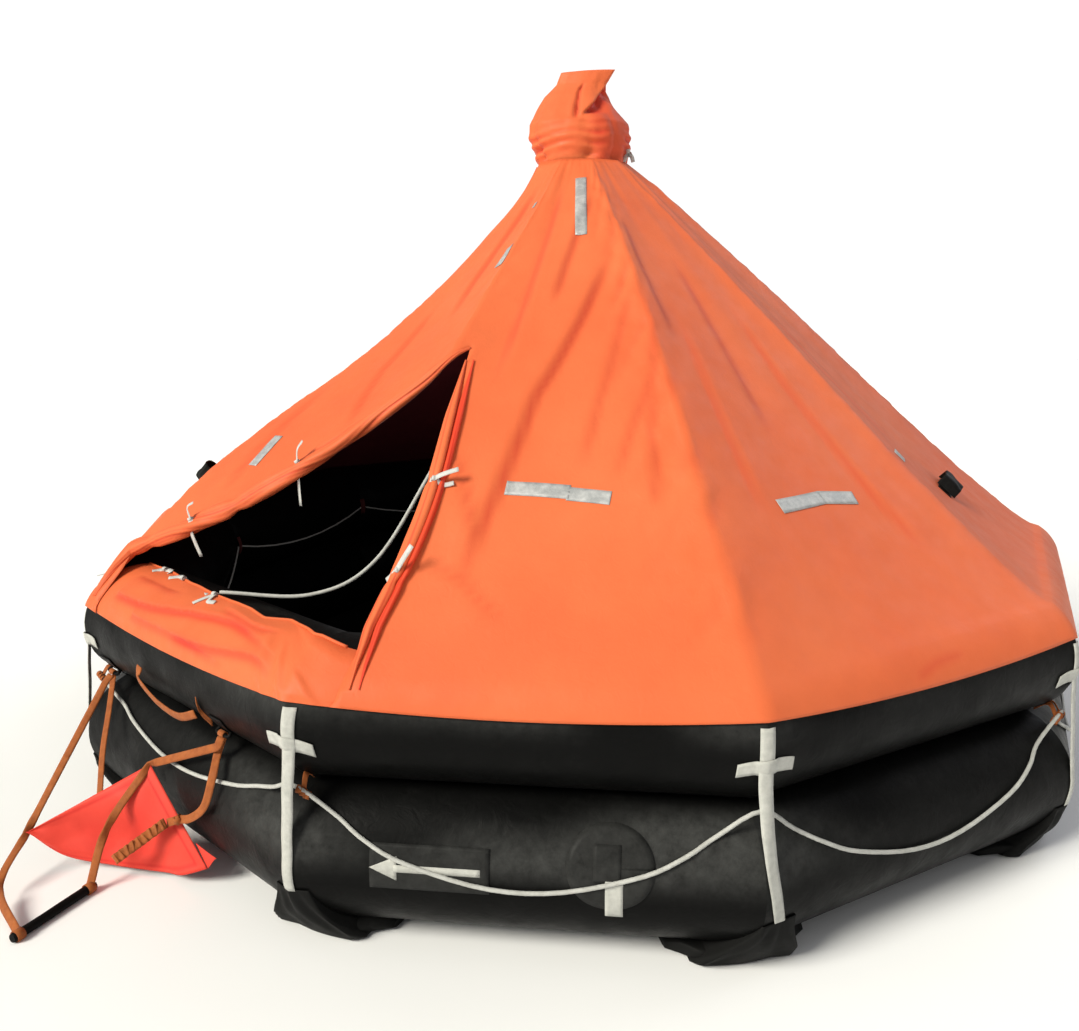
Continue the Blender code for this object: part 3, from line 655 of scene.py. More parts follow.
def reflective_tape():
    """Grey reflective tape with a fine cell pattern and worn, brighter patches."""
    tree = Tree("reflective_tape", 0.45, metallic=0.1)
    cells = tree.put("ShaderNodeTexVoronoi", {"Vector": tree.place}, Scale=420).outputs["Distance"]
    worn = tree.ramp(tree.noise(scale=28, detail=6, roughness=0.7), (0.42, 0.0), (0.72, 1.0))
    grey = tree.ramp(cells, (0.0, (0.42, 0.43, 0.43)), (0.7, (0.30, 0.31, 0.31)))
    tree.colour(tree.mixed(worn, grey, (0.56, 0.56, 0.55)))
    tree.links.new(tree.ramp(worn, (0.0, 0.38), (1.0, 0.62)), tree.shader.inputs["Roughness"])
    tree.bump(tree.noise(scale=60, detail=4), strength=0.3, distance=0.0015)
    return tree.material


tape_grey = reflective_tape()

# The camera stands where the photograph was taken from
CAMERA_PLACE = Vector((2.71034734, -3.16254519, 1.71768582))
CAMERA_RIGHT = Vector((0.73172476, 0.68156722, -0.0067082))
CAMERA_UP = Vector((-0.13966588, 0.15956259, 0.97725801))
CAMERA_FORWARD = Vector((-0.6671374, 0.71414698, -0.21194758))
LENS = 32.227
SENSOR = 36.0


def make_camera():
    """The camera, from where the photograph was taken."""
    data = bpy.data.cameras.new("camera")
    data.lens = LENS
    data.sensor_width = SENSOR
    data.sensor_fit = "HORIZONTAL"
    item = bpy.data.objects.new("camera", data)
    turn = Matrix((CAMERA_RIGHT, CAMERA_UP, -CAMERA_FORWARD)).transposed()
    item.matrix_world = Matrix.Translation(CAMERA_PLACE) @ turn.to_4x4()
    bpy.context.scene.collection.objects.link(item)
    bpy.context.scene.camera = item


make_camera()


# Ropes

def lifeline_out(height):
    """How far out the outer lifeline lies at a height, clear of the lower tube's flats."""
    reach = (LOWER_TUBE + GAP) / cos(ROPE_BULGE) + LIFELINE
    over = max(height - LOWER_HEIGHT, 0)
    return APOTHEM + max(sqrt(max(reach ** 2 - over ** 2, 0)), LIFELINE_CORNER)


def lifeline_place(side, part):
    """A point on the outer lifeline, `part` of the way from a side's middle to its corner."""
    half_corner = (APOTHEM + LIFELINE_CORNER) * tan(HALF)
    drop = ENTRANCE_DROP if side == 0 else LIFELINE_DROP
    height = LIFELINE_HEIGHT - drop * (1 - part ** 2)
    return Vector(on_side(side, part * half_corner, lifeline_out(height), height))


def inner_line_place(side, part):
    """A point on the inner line, counted in the same way."""
    out = APOTHEM - UPPER_TUBE - INNER_LINE - GAP
    half_side = out * tan(HALF)
    height = UPPER_HEIGHT - INNER_LINE_DROP * (1 - part ** 2)
    return on_side(side, part * half_side, out, height)


def round_route(place, parts):
    """A line's route all round the raft, from its places along each side."""
    stops = [(side, part) for side in range(SIDES) for part in parts]
    return [place(side, part) for side, part in [*stops, (SIDES - 1, ROPE_CLOSES)]]


def rope_piece(name, node, route, radius, lay=0.045, spacing=0.005):
    """A white laid rope that stands for a node."""
    item, path = laid_rope(name, route, radius, rope_fibre, lay, spacing)
    finished(item, replaces=[node])


def door_route(places, count):
    """A smooth route down one edge of the doorway, from its top."""
    return smooth_route([canopy_at(*place) for place in (DOOR_TOP, *places)], count)


def make_ropes():
    """The two lifelines round the raft and the rope across the doorway."""
    route = round_route(lifeline_place, LIFELINE_STOPS)
    rope_piece("lifeline_outer_rope", "lifeline_outer", smooth_route(route, len(route) * 4), LIFELINE,
               spacing=0.006)
    route = round_route(inner_line_place, np.linspace(-1, 1, 9)[:-1])
    rope_piece("lifeline_inner_rope", "lifeline_inner", route, INNER_LINE, lay=0.03, spacing=0.008)
    aside = Vector(DOOR_ROPE_LEAVES).normalized()
    start = door_route(DOOR_UPRIGHT, 12)[5] + aside * (UPRIGHT_ROLL + LIFELINE + GAP)
    end = Vector((*DOOR_ROPE_END, TUBE_TOP + CLOTH + GAP + 2 * LIFELINE))
    rope_piece("door_rope_laid", "door_rope", smooth_route([start, *DOOR_ROPE, end], 60), LIFELINE)


make_ropes()


# The canopy

def facing_of(grid):
    """The outward direction at each point of a grid of points."""
    across = np.gradient(grid, axis=1)
    up = np.gradient(grid, axis=0)
    facing = np.cross(across, up)
    length = np.linalg.norm(facing, axis=-1, keepdims=True)
    return facing / np.maximum(length, 1e-9)


def line_on_canopy(places, steps=8):
    """Points close together on the canopy along (azimuth, height) places."""
    points = []
    for (a, b), (c, d) in zip(places, places[1:]):
        for i in range(steps):
            t = i / steps
            points.append(canopy_at(a + (c - a) * t, b + (d - b) * t))
    points.append(canopy_at(*places[-1]))
    return np.array(points)


def spans_of(line, points):
    """For each span of a line: its number, its way, and how far along and where it's nearest to points."""
    for i, (start, end) in enumerate(zip(line, line[1:])):
        way = end - start
        t = np.clip(((points - start) @ way) / (way @ way), 0, 1)
        yield i, way, t, start + t[..., None] * way


def from_line(points, facing, line):
    """How far points are from a line, above nought to its right seen from outside, and how far along."""
    best = np.full(points.shape[:-1], np.inf)
    signed = np.zeros(points.shape[:-1])
    along = np.zeros(points.shape[:-1])
    for i, way, t, place in spans_of(line, points):
        offset = points - place
        distance = np.linalg.norm(offset, axis=-1)
        side = np.sign(np.einsum("...i,...i", np.cross(facing, way), offset))
        nearer = distance < best
        best = np.where(nearer, distance, best)
        signed = np.where(nearer, distance * side, signed)
        along = np.where(nearer, (i + t) / (len(line) - 1), along)
    return signed, along


# Folds on the canopy, each with its (azimuth, height) places from the top down, its
# depth, how sharp its step is and how far it spreads
FOLDS = [
    ([(49.9, 1.93), (43.4, 1.763), (38.3, 1.609), (33.5, 1.446), (30.3, 1.151), (28.5, 0.93)],
     0.022, 0.012, 0.15),
    ([(52.0, 1.80), (46.5, 1.591), (43.1, 1.434), (40.1, 1.233)], 0.009, 0.012, 0.06),
    ([(55.0, 1.75), (51.9, 1.523), (47.3, 1.367), (44.2, 1.215)], 0.009, 0.012, 0.06),
    ([(51.5, 1.50), (49.6, 1.355), (49.2, 1.252), (48.3, 1.16)], 0.010, 0.008, 0.05),
    ([(62.5, 1.70), (61.5, 1.442), (61.2, 1.270), (61.8, 1.106)], -0.009, 0.006, 0.06),
    ([(58.0, 2.05), (57.5, 1.85), (58.5, 1.60)], 0.014, 0.014, 0.08),
    ([(72.0, 1.90), (70.5, 1.60), (69.0, 1.30)], 0.014, 0.022, 0.12),
    ([(82.0, 1.75), (80.0, 1.45), (80.5, 1.15), (82.0, 0.95)], -0.012, 0.016, 0.09),
    ([(46.5, 2.12), (40.0, 2.02), (36.0, 1.86), (33.5, 1.70)], 0.014, 0.012, 0.08),
    ([(29.5, 2.20), (29.1, 2.00), (28.3, 1.75), (26.9, 1.45)], -0.016, 0.014, 0.10),
    ([(24.0, 1.30), (27.0, 1.20), (30.0, 1.05)], 0.010, 0.010, 0.06),
    ([(25.5, 1.02), (29.5, 0.98), (34.0, 0.88)], 0.008, 0.010, 0.05),
    ([(-1.4, 2.20), (1.5, 1.95), (8.0, 1.65)], 0.016, 0.016, 0.10),
    ([(-8.0, 1.75), (-4.0, 1.50), (2.0, 1.32)], 0.012, 0.014, 0.07),
    ([(-15.5, 1.45), (-13.0, 1.25), (-11.0, 1.10)], 0.010, 0.012, 0.06),
    ([(69.0, 0.715), (72.0, 0.745), (76.0, 0.752)], 0.012, 0.006, 0.03),
    ([(97.0, 1.85), (96.5, 1.50), (97.5, 1.15)], 0.010, 0.010, 0.06),
    ([(101.0, 1.75), (101.0, 1.45), (103.0, 1.20)], -0.010, 0.010, 0.06),
    ([(-24.0, 1.70), (-22.0, 1.35), (-21.0, 1.10)], 0.010, 0.012, 0.08),
    ([(130.0, 1.95), (134.0, 1.60), (133.0, 1.20)], 0.014, 0.014, 0.10),
    ([(205.0, 1.90), (200.0, 1.60), (202.0, 1.25)], 0.014, 0.014, 0.10),
    ([(250.0, 1.85), (254.0, 1.50), (252.0, 1.15)], -0.014, 0.014, 0.10),
    ([(300.0, 1.90), (296.0, 1.55), (298.0, 1.20)], 0.014, 0.014, 0.10),
]


# A fold's painted shade: its half width, how far it lies below the step, and the depth of a fold
# that is fully shaded
FOLD_SHADE_WIDTH = 0.014
CANOPY_SHADE_SHIFT = 0.006
CANOPY_DEEP_FOLD = 0.03


def fold_height(points, facing):
    """How far the folds lift the canopy at each point, and the shade painted on it beside their steps."""
    lift = np.zeros(points.shape[:-1])
    shade = np.zeros(points.shape[:-1])
    for places, depth, sharp, spread in FOLDS:
        signed, place = from_line(points, facing, line_on_canopy(places))
        step = np.tanh(-signed / sharp) / 2
        fade = smoothstep(place, 0, 0.25) * (1 - smoothstep(place, 0.8, 1))
        lift += depth * step * np.exp(-np.abs(signed) / spread) * fade
        low = signed * np.sign(depth) - CANOPY_SHADE_SHIFT
        shade += min(abs(depth) / CANOPY_DEEP_FOLD, 0.6) * bell(low, FOLD_SHADE_WIDTH) * fade
    return lift, shade


def speckle(points, scale, stretch=(1, 1, 1), seed=0.0):
    """Smooth noise at each point."""
    flat = (points * np.array(stretch) * scale + seed).reshape(-1, 3)
    return np.array([noise.noise(Vector(point)) for point in flat]).reshape(points.shape[:-1])


DENSE_COLUMNS = 40
PLAIN_COLUMNS = 18
DENSE_SIDES = (9, 0, 1, 2, 3)
HEM_ROWS = 10
UP_ROWS = 104

# Where the doorway's outline goes below the sill, as (azimuth, height), and the azimuth
# from which places count as left of the doorway
DOOR_FOOT = [(22.0, 0.78), (21.0, 0.55), (-15.7, 0.55), (-15.9, 0.78), (-16.5, 0.845), (-17.3, 0.885)]
COUNTS_AS_LEFT = 322

# Where the canopy's cloth comes free of the tube, is held by the neck, is drawn up towards
# the top, is sewn on there and has its hollow, as ranges of v
LEAVES_TUBE = (0.0, 0.12)
MEETS_NECK = (0.93, 1.0)
NEARS_TOP = (0.55, 0.97)
SEWN_ON = (0.985, 1)
HOLLOW_ROWS = (0.88, 0.97)

# How far creases lift the cloth, and the azimuths in degrees of its gathered ridge and its hollow
SLOW_WAVES = 0.010
TOP_WAVES = 0.004
SMALL_WAVES = 0.0016
LEAST_FOLD = 0.4
RIDGE_PUCKER = 0.0026
GATHERED_PUCKER = 0.006
GATHERED_AZIMUTH = 51.0
GATHERED_SPAN = 3.6
STREAK_DEPTH = 0.009
STREAK_SHADE_STARTS = 0.20
HOLLOW_AZIMUTH = 325
HOLLOW_SPAN = 22
HOLLOW_DEPTH = 0.020
HEM_WRINKLE = 0.0022
CUT_EDGE_LIFT = 0.3
CANOPY_CLOTH = 0.0022


def canopy_columns():
    """The gore and u of every column round the canopy."""
    sides, us = [], []
    for side in range(SIDES):
        count = DENSE_COLUMNS if side in DENSE_SIDES else PLAIN_COLUMNS
        sides += [side] * count
        us += list(np.arange(count) / count)
    return np.array(sides), np.array(us)


def door_outline():
    """The doorway's outline as (azimuth, height), from the top down its right edge and round."""
    return [DOOR_TOP, *DOOR_UPRIGHT, *DOOR_FOOT, *DOOR_SLANT[-2::-1]]


def inside_outline(x, y, outline):
    """Which points lie inside a closed outline."""
    found = np.zeros(x.shape, bool)
    for (a, b), (c, d) in zip(outline, outline[1:] + outline[:1]):
        if b == d:
            continue
        crosses = (b > y) != (d > y)
        at = a + (y - b) * (c - a) / (d - b)
        found ^= crosses & (x < at)
    return found


def nearest_on(points, line):
    """The nearest places on a line to some points."""
    best = np.full(points.shape[:-1], np.inf)
    found = points.copy()
    for _, _, _, place in spans_of(line, points):
        distance = np.linalg.norm(points - place, axis=-1)
        nearer = distance < best
        best = np.where(nearer, distance, best)
        found = np.where(nearer[..., None], place, found)
    return found


def on_edge(keep, rows):
    """Which grid points lie between kept faces and cut ones, in a grid joined round."""
    full = np.zeros((rows, keep.shape[1]), bool)
    cut = full.copy()
    for shift in (0, 1):
        beside = np.roll(keep, shift, axis=1)
        full[:-1] |= beside
        full[1:] |= beside
        cut[:-1] |= ~beside
        cut[1:] |= ~beside
    return full & cut


def canopy_creases(side, u, v, azimuth, base, facing):
    """How far creases lift the canopy at each point, and the shade painted on it in its folds and streaks.
    """
    free = smoothstep(v, *LEAVES_TUBE) * (1 - smoothstep(v, *MEETS_NECK))
    lift, shade = fold_height(base, facing)
    lift *= np.maximum(free, LEAST_FOLD)
    round_top = np.radians(azimuth)
    meridian = np.stack((np.sin(round_top) * 3, np.cos(round_top) * 3, v * 0.8), axis=-1)
    lift += SLOW_WAVES * speckle(meridian, 2.1, seed=3.1) * free
    near_top = smoothstep(v, *NEARS_TOP)
    loose = 1 - smoothstep(v, *SEWN_ON)
    lift += TOP_WAVES * speckle(meridian, 4.0, (1, 1, 0.6), 7.7) * near_top * loose
    ridge = np.minimum(u, 1 - u) * 2
    pucker = speckle(base, 22, (1, 1, 1.6), 1.7) + 0.6 * speckle(base, 45, seed=9.2)
    gathered = bell(azimuth - GATHERED_AZIMUTH, GATHERED_SPAN)
    lift += pucker * (RIDGE_PUCKER * bell(ridge, 0.16) + GATHERED_PUCKER * gathered) * free
    slant = np.stack((azimuth * 0.30 - v * 20, azimuth * 0.05 + v * 4, side * 5.0), axis=-1)
    streaks = speckle(slant, 1.0, seed=0.7)
    near_ridge = 0.35 * bell(ridge, 0.30) + gathered
    lift += STREAK_DEPTH * streaks * near_ridge * free
    # Painted shade in the streaks' hollows
    shade += np.maximum(-streaks - STREAK_SHADE_STARTS, 0) * near_ridge * 0.5 * free
    lift += SMALL_WAVES * speckle(base, 9, seed=5.5) * free
    lift -= HOLLOW_DEPTH * bell(azimuth - HOLLOW_AZIMUTH, HOLLOW_SPAN) * smoothstep(v, *HOLLOW_ROWS)
    lift += HEM_WRINKLE * bell(v + 0.55, 0.5) * np.maximum(speckle(base, 14, (1, 1, 0.4), 2.4), 0)
    return np.where(v <= 0, np.maximum(lift, 0), lift), shade


def make_canopy():
    """The canopy's cloth from its hem on the upper tube to its neck, cut away at the doorway."""
    sides, us = canopy_columns()
    rows = np.concatenate((np.linspace(-1, 0, HEM_ROWS, endpoint=False), np.linspace(0, 1, UP_ROWS)))
    side, v = np.broadcast_arrays(sides[None, :], rows[:, None])
    u = np.broadcast_to(us[None, :], v.shape)
    base = canopy_point(side, u, v)
    wrapped = np.concatenate((base[:, -2:], base, base[:, :2]), axis=1)
    facing = facing_of(wrapped)[:, 2:-2]
    azimuth = np.degrees(side * STEP + np.arctan((2 * u - 1) * tan(HALF)))
    lift, shade = canopy_creases(side, u, v, azimuth, base, facing)
    surface = base + facing * lift[..., None]
    outline = door_outline()
    middle = (azimuth + np.roll(azimuth, -1, axis=1)) / 2
    middle[:, -1] = azimuth[:, -1] + 1
    middle = np.where(middle > COUNTS_AS_LEFT, middle - 360, middle)
    middle_height = (base[:-1, :, 2] + base[1:, :, 2]) / 2
    keep = ~inside_outline(middle[:-1], middle_height, outline)
    edge = on_edge(keep, len(rows))
    line = line_on_canopy([*outline, outline[0]])
    held = facing[edge] * np.maximum(lift[edge], 0)[:, None] * CUT_EDGE_LIFT
    surface[edge] = nearest_on(base[edge], line) + held
    item = grid_object("canopy_sheet", surface, canopy_cloth, around=True, keep=keep, painted_light_and_dust=shade)
    thicken(item, CANOPY_CLOTH, -1, lining_cloth)
    gores = [f"canopy_gore_{i + 1:02d}" for i in range(SIDES)]
    return finished(item, replaces=gores)


canopy = make_canopy()


# The tubes

def side_places(count):
    """Places along a side from -1 to 1, closer together at its corners."""
    t = np.linspace(-1, 1, count, endpoint=False)
    return np.sin(t * pi / 2)


TUBE_SEGMENTS = 56
TUBE_PLACES = 44

# The skin lies a little inside the solid tube and never far outside it
SKIN_INSIDE = 0.001
SKIN_OUTSIDE = 0.0006
UNEVEN = 0.0010
BAND_DEPTH = 0.0015
BAND_HALF = 0.055
PUCKER_REACH = 0.10
OUTER_PUCKER = 0.0016
INNER_PUCKER = 0.006

# Dust lies high on the tubes' outer face, and a painted sheen with it on the side right of the doorway's,
# which faces the light
PAINTED_SHEEN_AZIMUTH = STEP
DUST_AND_SHEEN = 0.8
DUST_ELSEWHERE = 0.15


def dust_and_sheen_on(grid, angle, seed):
    """How much dust and painted sheen a tube has at each point."""
    rise = np.broadcast_to(np.sin(angle)[None, :], grid.shape[:-1])
    outer = smoothstep(np.cos(angle)[None, :], 0.1, 0.5)
    cloud = np.clip(0.55 + 1.1 * speckle(grid, 2.4, (1, 1, 2), seed + 3), 0, 1)
    towards = np.cos(np.arctan2(grid[..., 0], -grid[..., 1]) - PAINTED_SHEEN_AZIMUTH)
    dust_and_sheen = DUST_AND_SHEEN * smoothstep(rise, -0.10, 0.50) * (1 - smoothstep(rise, 0.70, 0.95)) * outer * cloud
    return dust_and_sheen * (DUST_ELSEWHERE + (1 - DUST_ELSEWHERE) * smoothstep(towards, 0.75, 0.98))


def tube_skin(name, radius, centre, low, high, seed, nodes):
    """A tube ring with glued corner bands, soft puckers at its corners and slight unevenness."""
    angle = -np.linspace(0, 2 * pi, TUBE_SEGMENTS, endpoint=False)
    grid = []
    for side in range(SIDES):
        for place in side_places(TUBE_PLACES):
            out = APOTHEM + radius * np.cos(angle)
            along = place * out * tan(HALF)
            level = np.clip(centre + radius * np.sin(angle), low, high)
            grid.append(on_side(side, along, out, level))
    grid = np.array(grid)
    facing = facing_of(np.concatenate((grid[-2:], grid, grid[:2])))[2:-2]
    place = np.tile(side_places(TUBE_PLACES), SIDES)[:, None]
    corner = (1 - np.abs(place)) * APOTHEM * tan(HALF)
    band = BAND_DEPTH * (1 - smoothstep(corner, BAND_HALF, BAND_HALF + 0.005))
    inner = smoothstep(-np.cos(angle)[None, :], -0.2, 0.8)
    puckers = speckle(grid, 30, (1, 1, 1.5), seed) * bell(corner, PUCKER_REACH)
    lift = -SKIN_INSIDE + band * 0.6 + UNEVEN * speckle(grid, 5, seed=seed)
    lift = np.minimum(lift + puckers * (OUTER_PUCKER + INNER_PUCKER * inner), SKIN_OUTSIDE)
    grid = grid + facing * lift[..., None]
    grid[..., 2] = np.clip(grid[..., 2], low, high)
    dust_and_sheen = dust_and_sheen_on(grid, angle, seed)
    item = grid_object(name, grid, tube_rubber, around=True, closed=True, painted_light_and_dust=dust_and_sheen)
    return finished(item, replaces=nodes)


tube_skin("tube_lower_skin", LOWER_TUBE, LOWER_HEIGHT, UNDERLAY, BOND_HEIGHT, 4.4, ["tube_lower"])
tube_skin("tube_upper_skin", UPPER_TUBE, UPPER_HEIGHT, BOND_HEIGHT + GAP, TUBE_TOP, 8.8, ["tube_upper"])


# What lies on the tubes

LOWER = (LOWER_TUBE, LOWER_HEIGHT)
UPPER = (UPPER_TUBE, UPPER_HEIGHT)


def on_tube(tube, side, along, angle, lift=0.0):
    """Points on a tube `along` a side, at an angle up from the tube's widest line."""
    radius, centre = tube
    reach = radius + lift
    return on_side(side, along, APOTHEM + reach * np.cos(angle), centre + reach * np.sin(angle))


def corner_row(corner, across, out, height):
    """Points `across` a corner, on its two sides' planes `out` from the raft's axis."""
    across, out, height = np.broadcast_arrays(across, out, height)
    reach = (out - np.abs(across) * sin(HALF)) / cos(HALF)
    azimuth = corner_azimuth(corner)
    x = reach * np.sin(azimuth) + across * np.cos(azimuth)
    y = -reach * np.cos(azimuth) + across * np.sin(azimuth)
    return np.stack((x, y, height), axis=-1)


def over_corner(tube, corner, across, angle, lift=0.0):
    """Points on a tube near a corner, `across` from the corner's own plane."""
    radius, centre = tube
    reach = radius + lift
    return corner_row(corner, across, APOTHEM + reach * np.cos(angle), centre + reach * np.sin(angle))


STRAP_LEAVES = radians(-12)
STRAP_LANDS = radians(9)
STRAP_LIFT = 0.0012
STRAP_CLOTH = 0.0024
STRAP_LOW_WIDTH = 0.86
STRAP_BEND = 0.010
STRAP_WAVER = 0.0004
STRAP_PUFF = 0.0006

# The corner straps that the photograph shows: how far each is shifted across its corner,
# how far its lower end drifts more than that, and how much higher the end is. The drift of
# the others varies from corner to corner.
STRAP_SHIFT = {0: -0.035, 1: 0.014}
STRAP_DRIFT = {0: 0.0, 1: -0.014, 2: 0.050}
OTHER_DRIFT = 0.030
STRAP_SHORTER = {1: radians(8)}
OTHERS_SHORTER = radians(3)

# The short piece across each strap, bent and lifted where it crosses it
CROSS_ANGLE = radians(-10)
CROSS_HALF = 0.075
CROSS_WIDTH = 0.040
CROSS_SHIFT = 0.004
CROSS_OVER = 0.0035
CROSS_SLANT = 0.008
CROSS_BEND = 0.013
CROSS_CURL = 0.0012


def strap_end(corner):
    """The angle at which a corner's strap ends on the lower tube."""
    return STRAP_END + STRAP_SHORTER.get(corner, OTHERS_SHORTER)


def strap_drift(corner):
    """How far the strap's lower end lies to the side."""
    return STRAP_DRIFT.get(corner, OTHER_DRIFT * sin(corner * 2.1))


def strap_profile(corner):
    """A corner strap's (out, 0, height) from its lower end up over both tubes."""
    profile = []
    for (radius, centre), start, end in ((LOWER, strap_end(corner), STRAP_LANDS),
                                         (UPPER, STRAP_LEAVES, STRAP_TOP)):
        reach = radius + STRAP_LIFT
        for angle in np.linspace(start, end, 22):
            profile.append((APOTHEM + reach * cos(angle), 0, centre + reach * sin(angle)))
    return evenly(profile, 0.012)


def strap_grid(corner):
    """A corner's strap from its lower end up."""
    profile = strap_profile(corner)
    place = np.linspace(0, 1, len(profile))[:, None]
    drift = strap_drift(corner) * (1 - place) ** 2 - STRAP_BEND * np.sin(pi * place) * sin(corner)
    wander = drift + STRAP_WAVER * np.sin(30 * place + corner) + STRAP_SHIFT.get(corner, 0)
    narrowed = STRAP_LOW_WIDTH + (1 - STRAP_LOW_WIDTH) * place
    across = np.linspace(-0.5, 0.5, 5)[None, :] * STRAP_WIDTH * narrowed + wander
    puff = STRAP_PUFF * np.sin(23 * place + corner) + STRAP_PUFF
    return corner_row(corner, across, profile[:, 0:1] + puff, profile[:, 2:3])


def cross_grid(corner):
    """The short webbing across a corner's strap."""
    width = np.linspace(-CROSS_HALF, CROSS_HALF, 31)[None, :] + CROSS_SHIFT * sin(corner * 3.7)
    over = CROSS_OVER * (1 - smoothstep(np.abs(width), STRAP_WIDTH / 2, STRAP_WIDTH / 2 + 0.010))
    slant = CROSS_SLANT * np.cos(corner * 2.7) * width / CROSS_HALF - CROSS_BEND * (width / CROSS_HALF) ** 2
    rows = np.linspace(-0.5, 0.5, 5)[:, None] * CROSS_WIDTH
    angle = CROSS_ANGLE + (rows + slant) / UPPER_TUBE
    curl = CROSS_CURL * np.abs(np.sin(width * 60 + corner)) * np.abs(rows) / CROSS_WIDTH
    return over_corner(UPPER, corner, width, angle, STRAP_LIFT + over + curl)


def make_corner_straps():
    """White webbing over both tubes at each corner, with a short piece across it."""
    for corner in range(SIDES):
        thin_piece(f"corner_webbing_{corner + 1:02d}", [strap_grid(corner), cross_grid(corner)],
                   white_webbing, STRAP_CLOTH, 1,
                   replaces=[f"corner_strap_{corner + 1:02d}"])


make_corner_straps()


def tube_grid(tube, side, alongs, angles, lift, columns=24, rows=12):
    """A rectangle on a tube, between two places along its side and two angles in degrees."""
    along = np.linspace(*alongs, columns)[None, :]
    angle = np.radians(np.linspace(*angles, rows))[:, None]
    return on_tube(tube, side, along, angle, lift)


def round_grid(tube, side, middle, angle, reach, lift):
    """A round patch's points on a tube."""
    turn = np.linspace(0, 2 * pi, 49)[None, :]
    radius = np.linspace(0.02, 1, 7)[:, None] * reach
    along = middle + radius * np.cos(turn)
    return on_tube(tube, side, along, radians(angle) - radius * np.sin(turn) / tube[0], lift)


# The patches and the tab on the lower tube, as (side, places along it, angles in degrees),
# and the round patches as (side, place along it, angle in degrees, radius)
ARROW_PATCH = (1, (-0.40, -0.08), (-6, 25.7))
VALVE_PATCH = (1, 0.234, 18, 0.115)
VALVE_STRIP = (1, (0.19, 0.262), (8, 33))
VALVE_TAB = (1, (0.222, 0.268), (-17, 9.5))
REAR_PATCHES = [(side, 0.1, 15, 0.10) for side in (3, 6, 8)]
PATCH_LIFT = 0.0006
STRIP_LIFT = 0.0018
TAB_LIFT = 0.0030
PATCH_CLOTH = 0.0016
ARROW_CLOTH = 0.0008
TAB_CLOTH = 0.0012
# How much dust and painted sheen the black patches carry
PATCH_DUST_AND_SHEEN = 0.35

# The arrow on the side right of the doorway's: places along the side, and angles in degrees
ARROW_TIP = -0.400
ARROW_HEAD = 0.074
ARROW_SHAFT = (-0.335, -0.103)
ARROW_ANGLE = 9
ARROW_SHAFT_HALF = 2.5
ARROW_HEAD_HALF = 8.4
ARROW_LIFT = 0.0024


def arrow_grids():
    """The plain arrow's shaft and head."""
    angles = (ARROW_ANGLE - ARROW_SHAFT_HALF, ARROW_ANGLE + ARROW_SHAFT_HALF)
    shaft = tube_grid(LOWER, 1, ARROW_SHAFT, angles, ARROW_LIFT, 20, 3)
    share = np.linspace(0, 1, 7)[None, :]
    spread = np.linspace(-1, 1, 5)[:, None]
    angle = np.radians(ARROW_ANGLE + ARROW_HEAD_HALF * spread * share)
    return [shaft, on_tube(LOWER, 1, ARROW_TIP + ARROW_HEAD * share, angle, ARROW_LIFT)]


def make_tube_marks():
    """The black patches on the lower tube, the plain arrow and the white tab."""
    dark = [tube_grid(LOWER, *ARROW_PATCH, PATCH_LIFT), round_grid(LOWER, *VALVE_PATCH, PATCH_LIFT),
            tube_grid(LOWER, *VALVE_STRIP, STRIP_LIFT, 8, 10)]
    dark += [round_grid(LOWER, *patch, PATCH_LIFT) for patch in REAR_PATCHES]
    patches = thin_piece("tube_patches", dark, patch_rubber, PATCH_CLOTH, 1)
    paint_light_and_dust(patches, np.full(len(patches.data.vertices), PATCH_DUST_AND_SHEEN))
    thin_piece("arrow_patch", arrow_grids(), white_webbing, ARROW_CLOTH, 1)
    tab = tube_grid(LOWER, *VALVE_TAB, TAB_LIFT, 6, 10)
    thin_piece("valve_tape", [tab], white_webbing, TAB_CLOTH, 1)


make_tube_marks()


LOOP_WIDTH = 0.016
LOOP_CLEARS = 0.004
LOOP_CLOTH = 0.0022
LOOP_TURNS = (-0.013, 0.0, 0.013)
LOOP_TILT = Vector((0, 0, 0.35))

# Where the loops stand, as parts of a half side, and their ends' angles on the upper tube
LOOP_PART = -0.962
RIGHT_LOOP_PART = 0.965
LOOP_ROOT = radians(-62)
LOOP_FOOT = radians(-46)


def make_lifeline_loops():
    """The brown webbing wound round the outer lifeline beside the corners."""
    grids = []
    for side in range(SIDES):
        part = RIGHT_LOOP_PART if side == 2 else LOOP_PART
        place = lifeline_place(side, part)
        way = (lifeline_place(side, part + 0.02) - lifeline_place(side, part - 0.02)).normalized()
        for turn in LOOP_TURNS:
            grids.append(loop_grid(place + way * turn, way + LOOP_TILT, LIFELINE + LOOP_CLEARS, LOOP_WIDTH))
        along = place.dot(Vector(on_side(side, 1, 0, 0)))
        root = Vector(on_tube(UPPER, side, along, LOOP_ROOT, 0.003))
        foot = Vector(on_tube(UPPER, side, along, LOOP_FOOT, 0.004))
        route = smooth_route([place, foot, root], 8)
        grids.append(ribbon_grid(route, [tuple(way)] * len(route), LOOP_WIDTH))
    thin_piece("lifeline_loops", grids, brown_webbing, LOOP_CLOTH)


make_lifeline_loops()


# The doorway's sill, rolls and ties

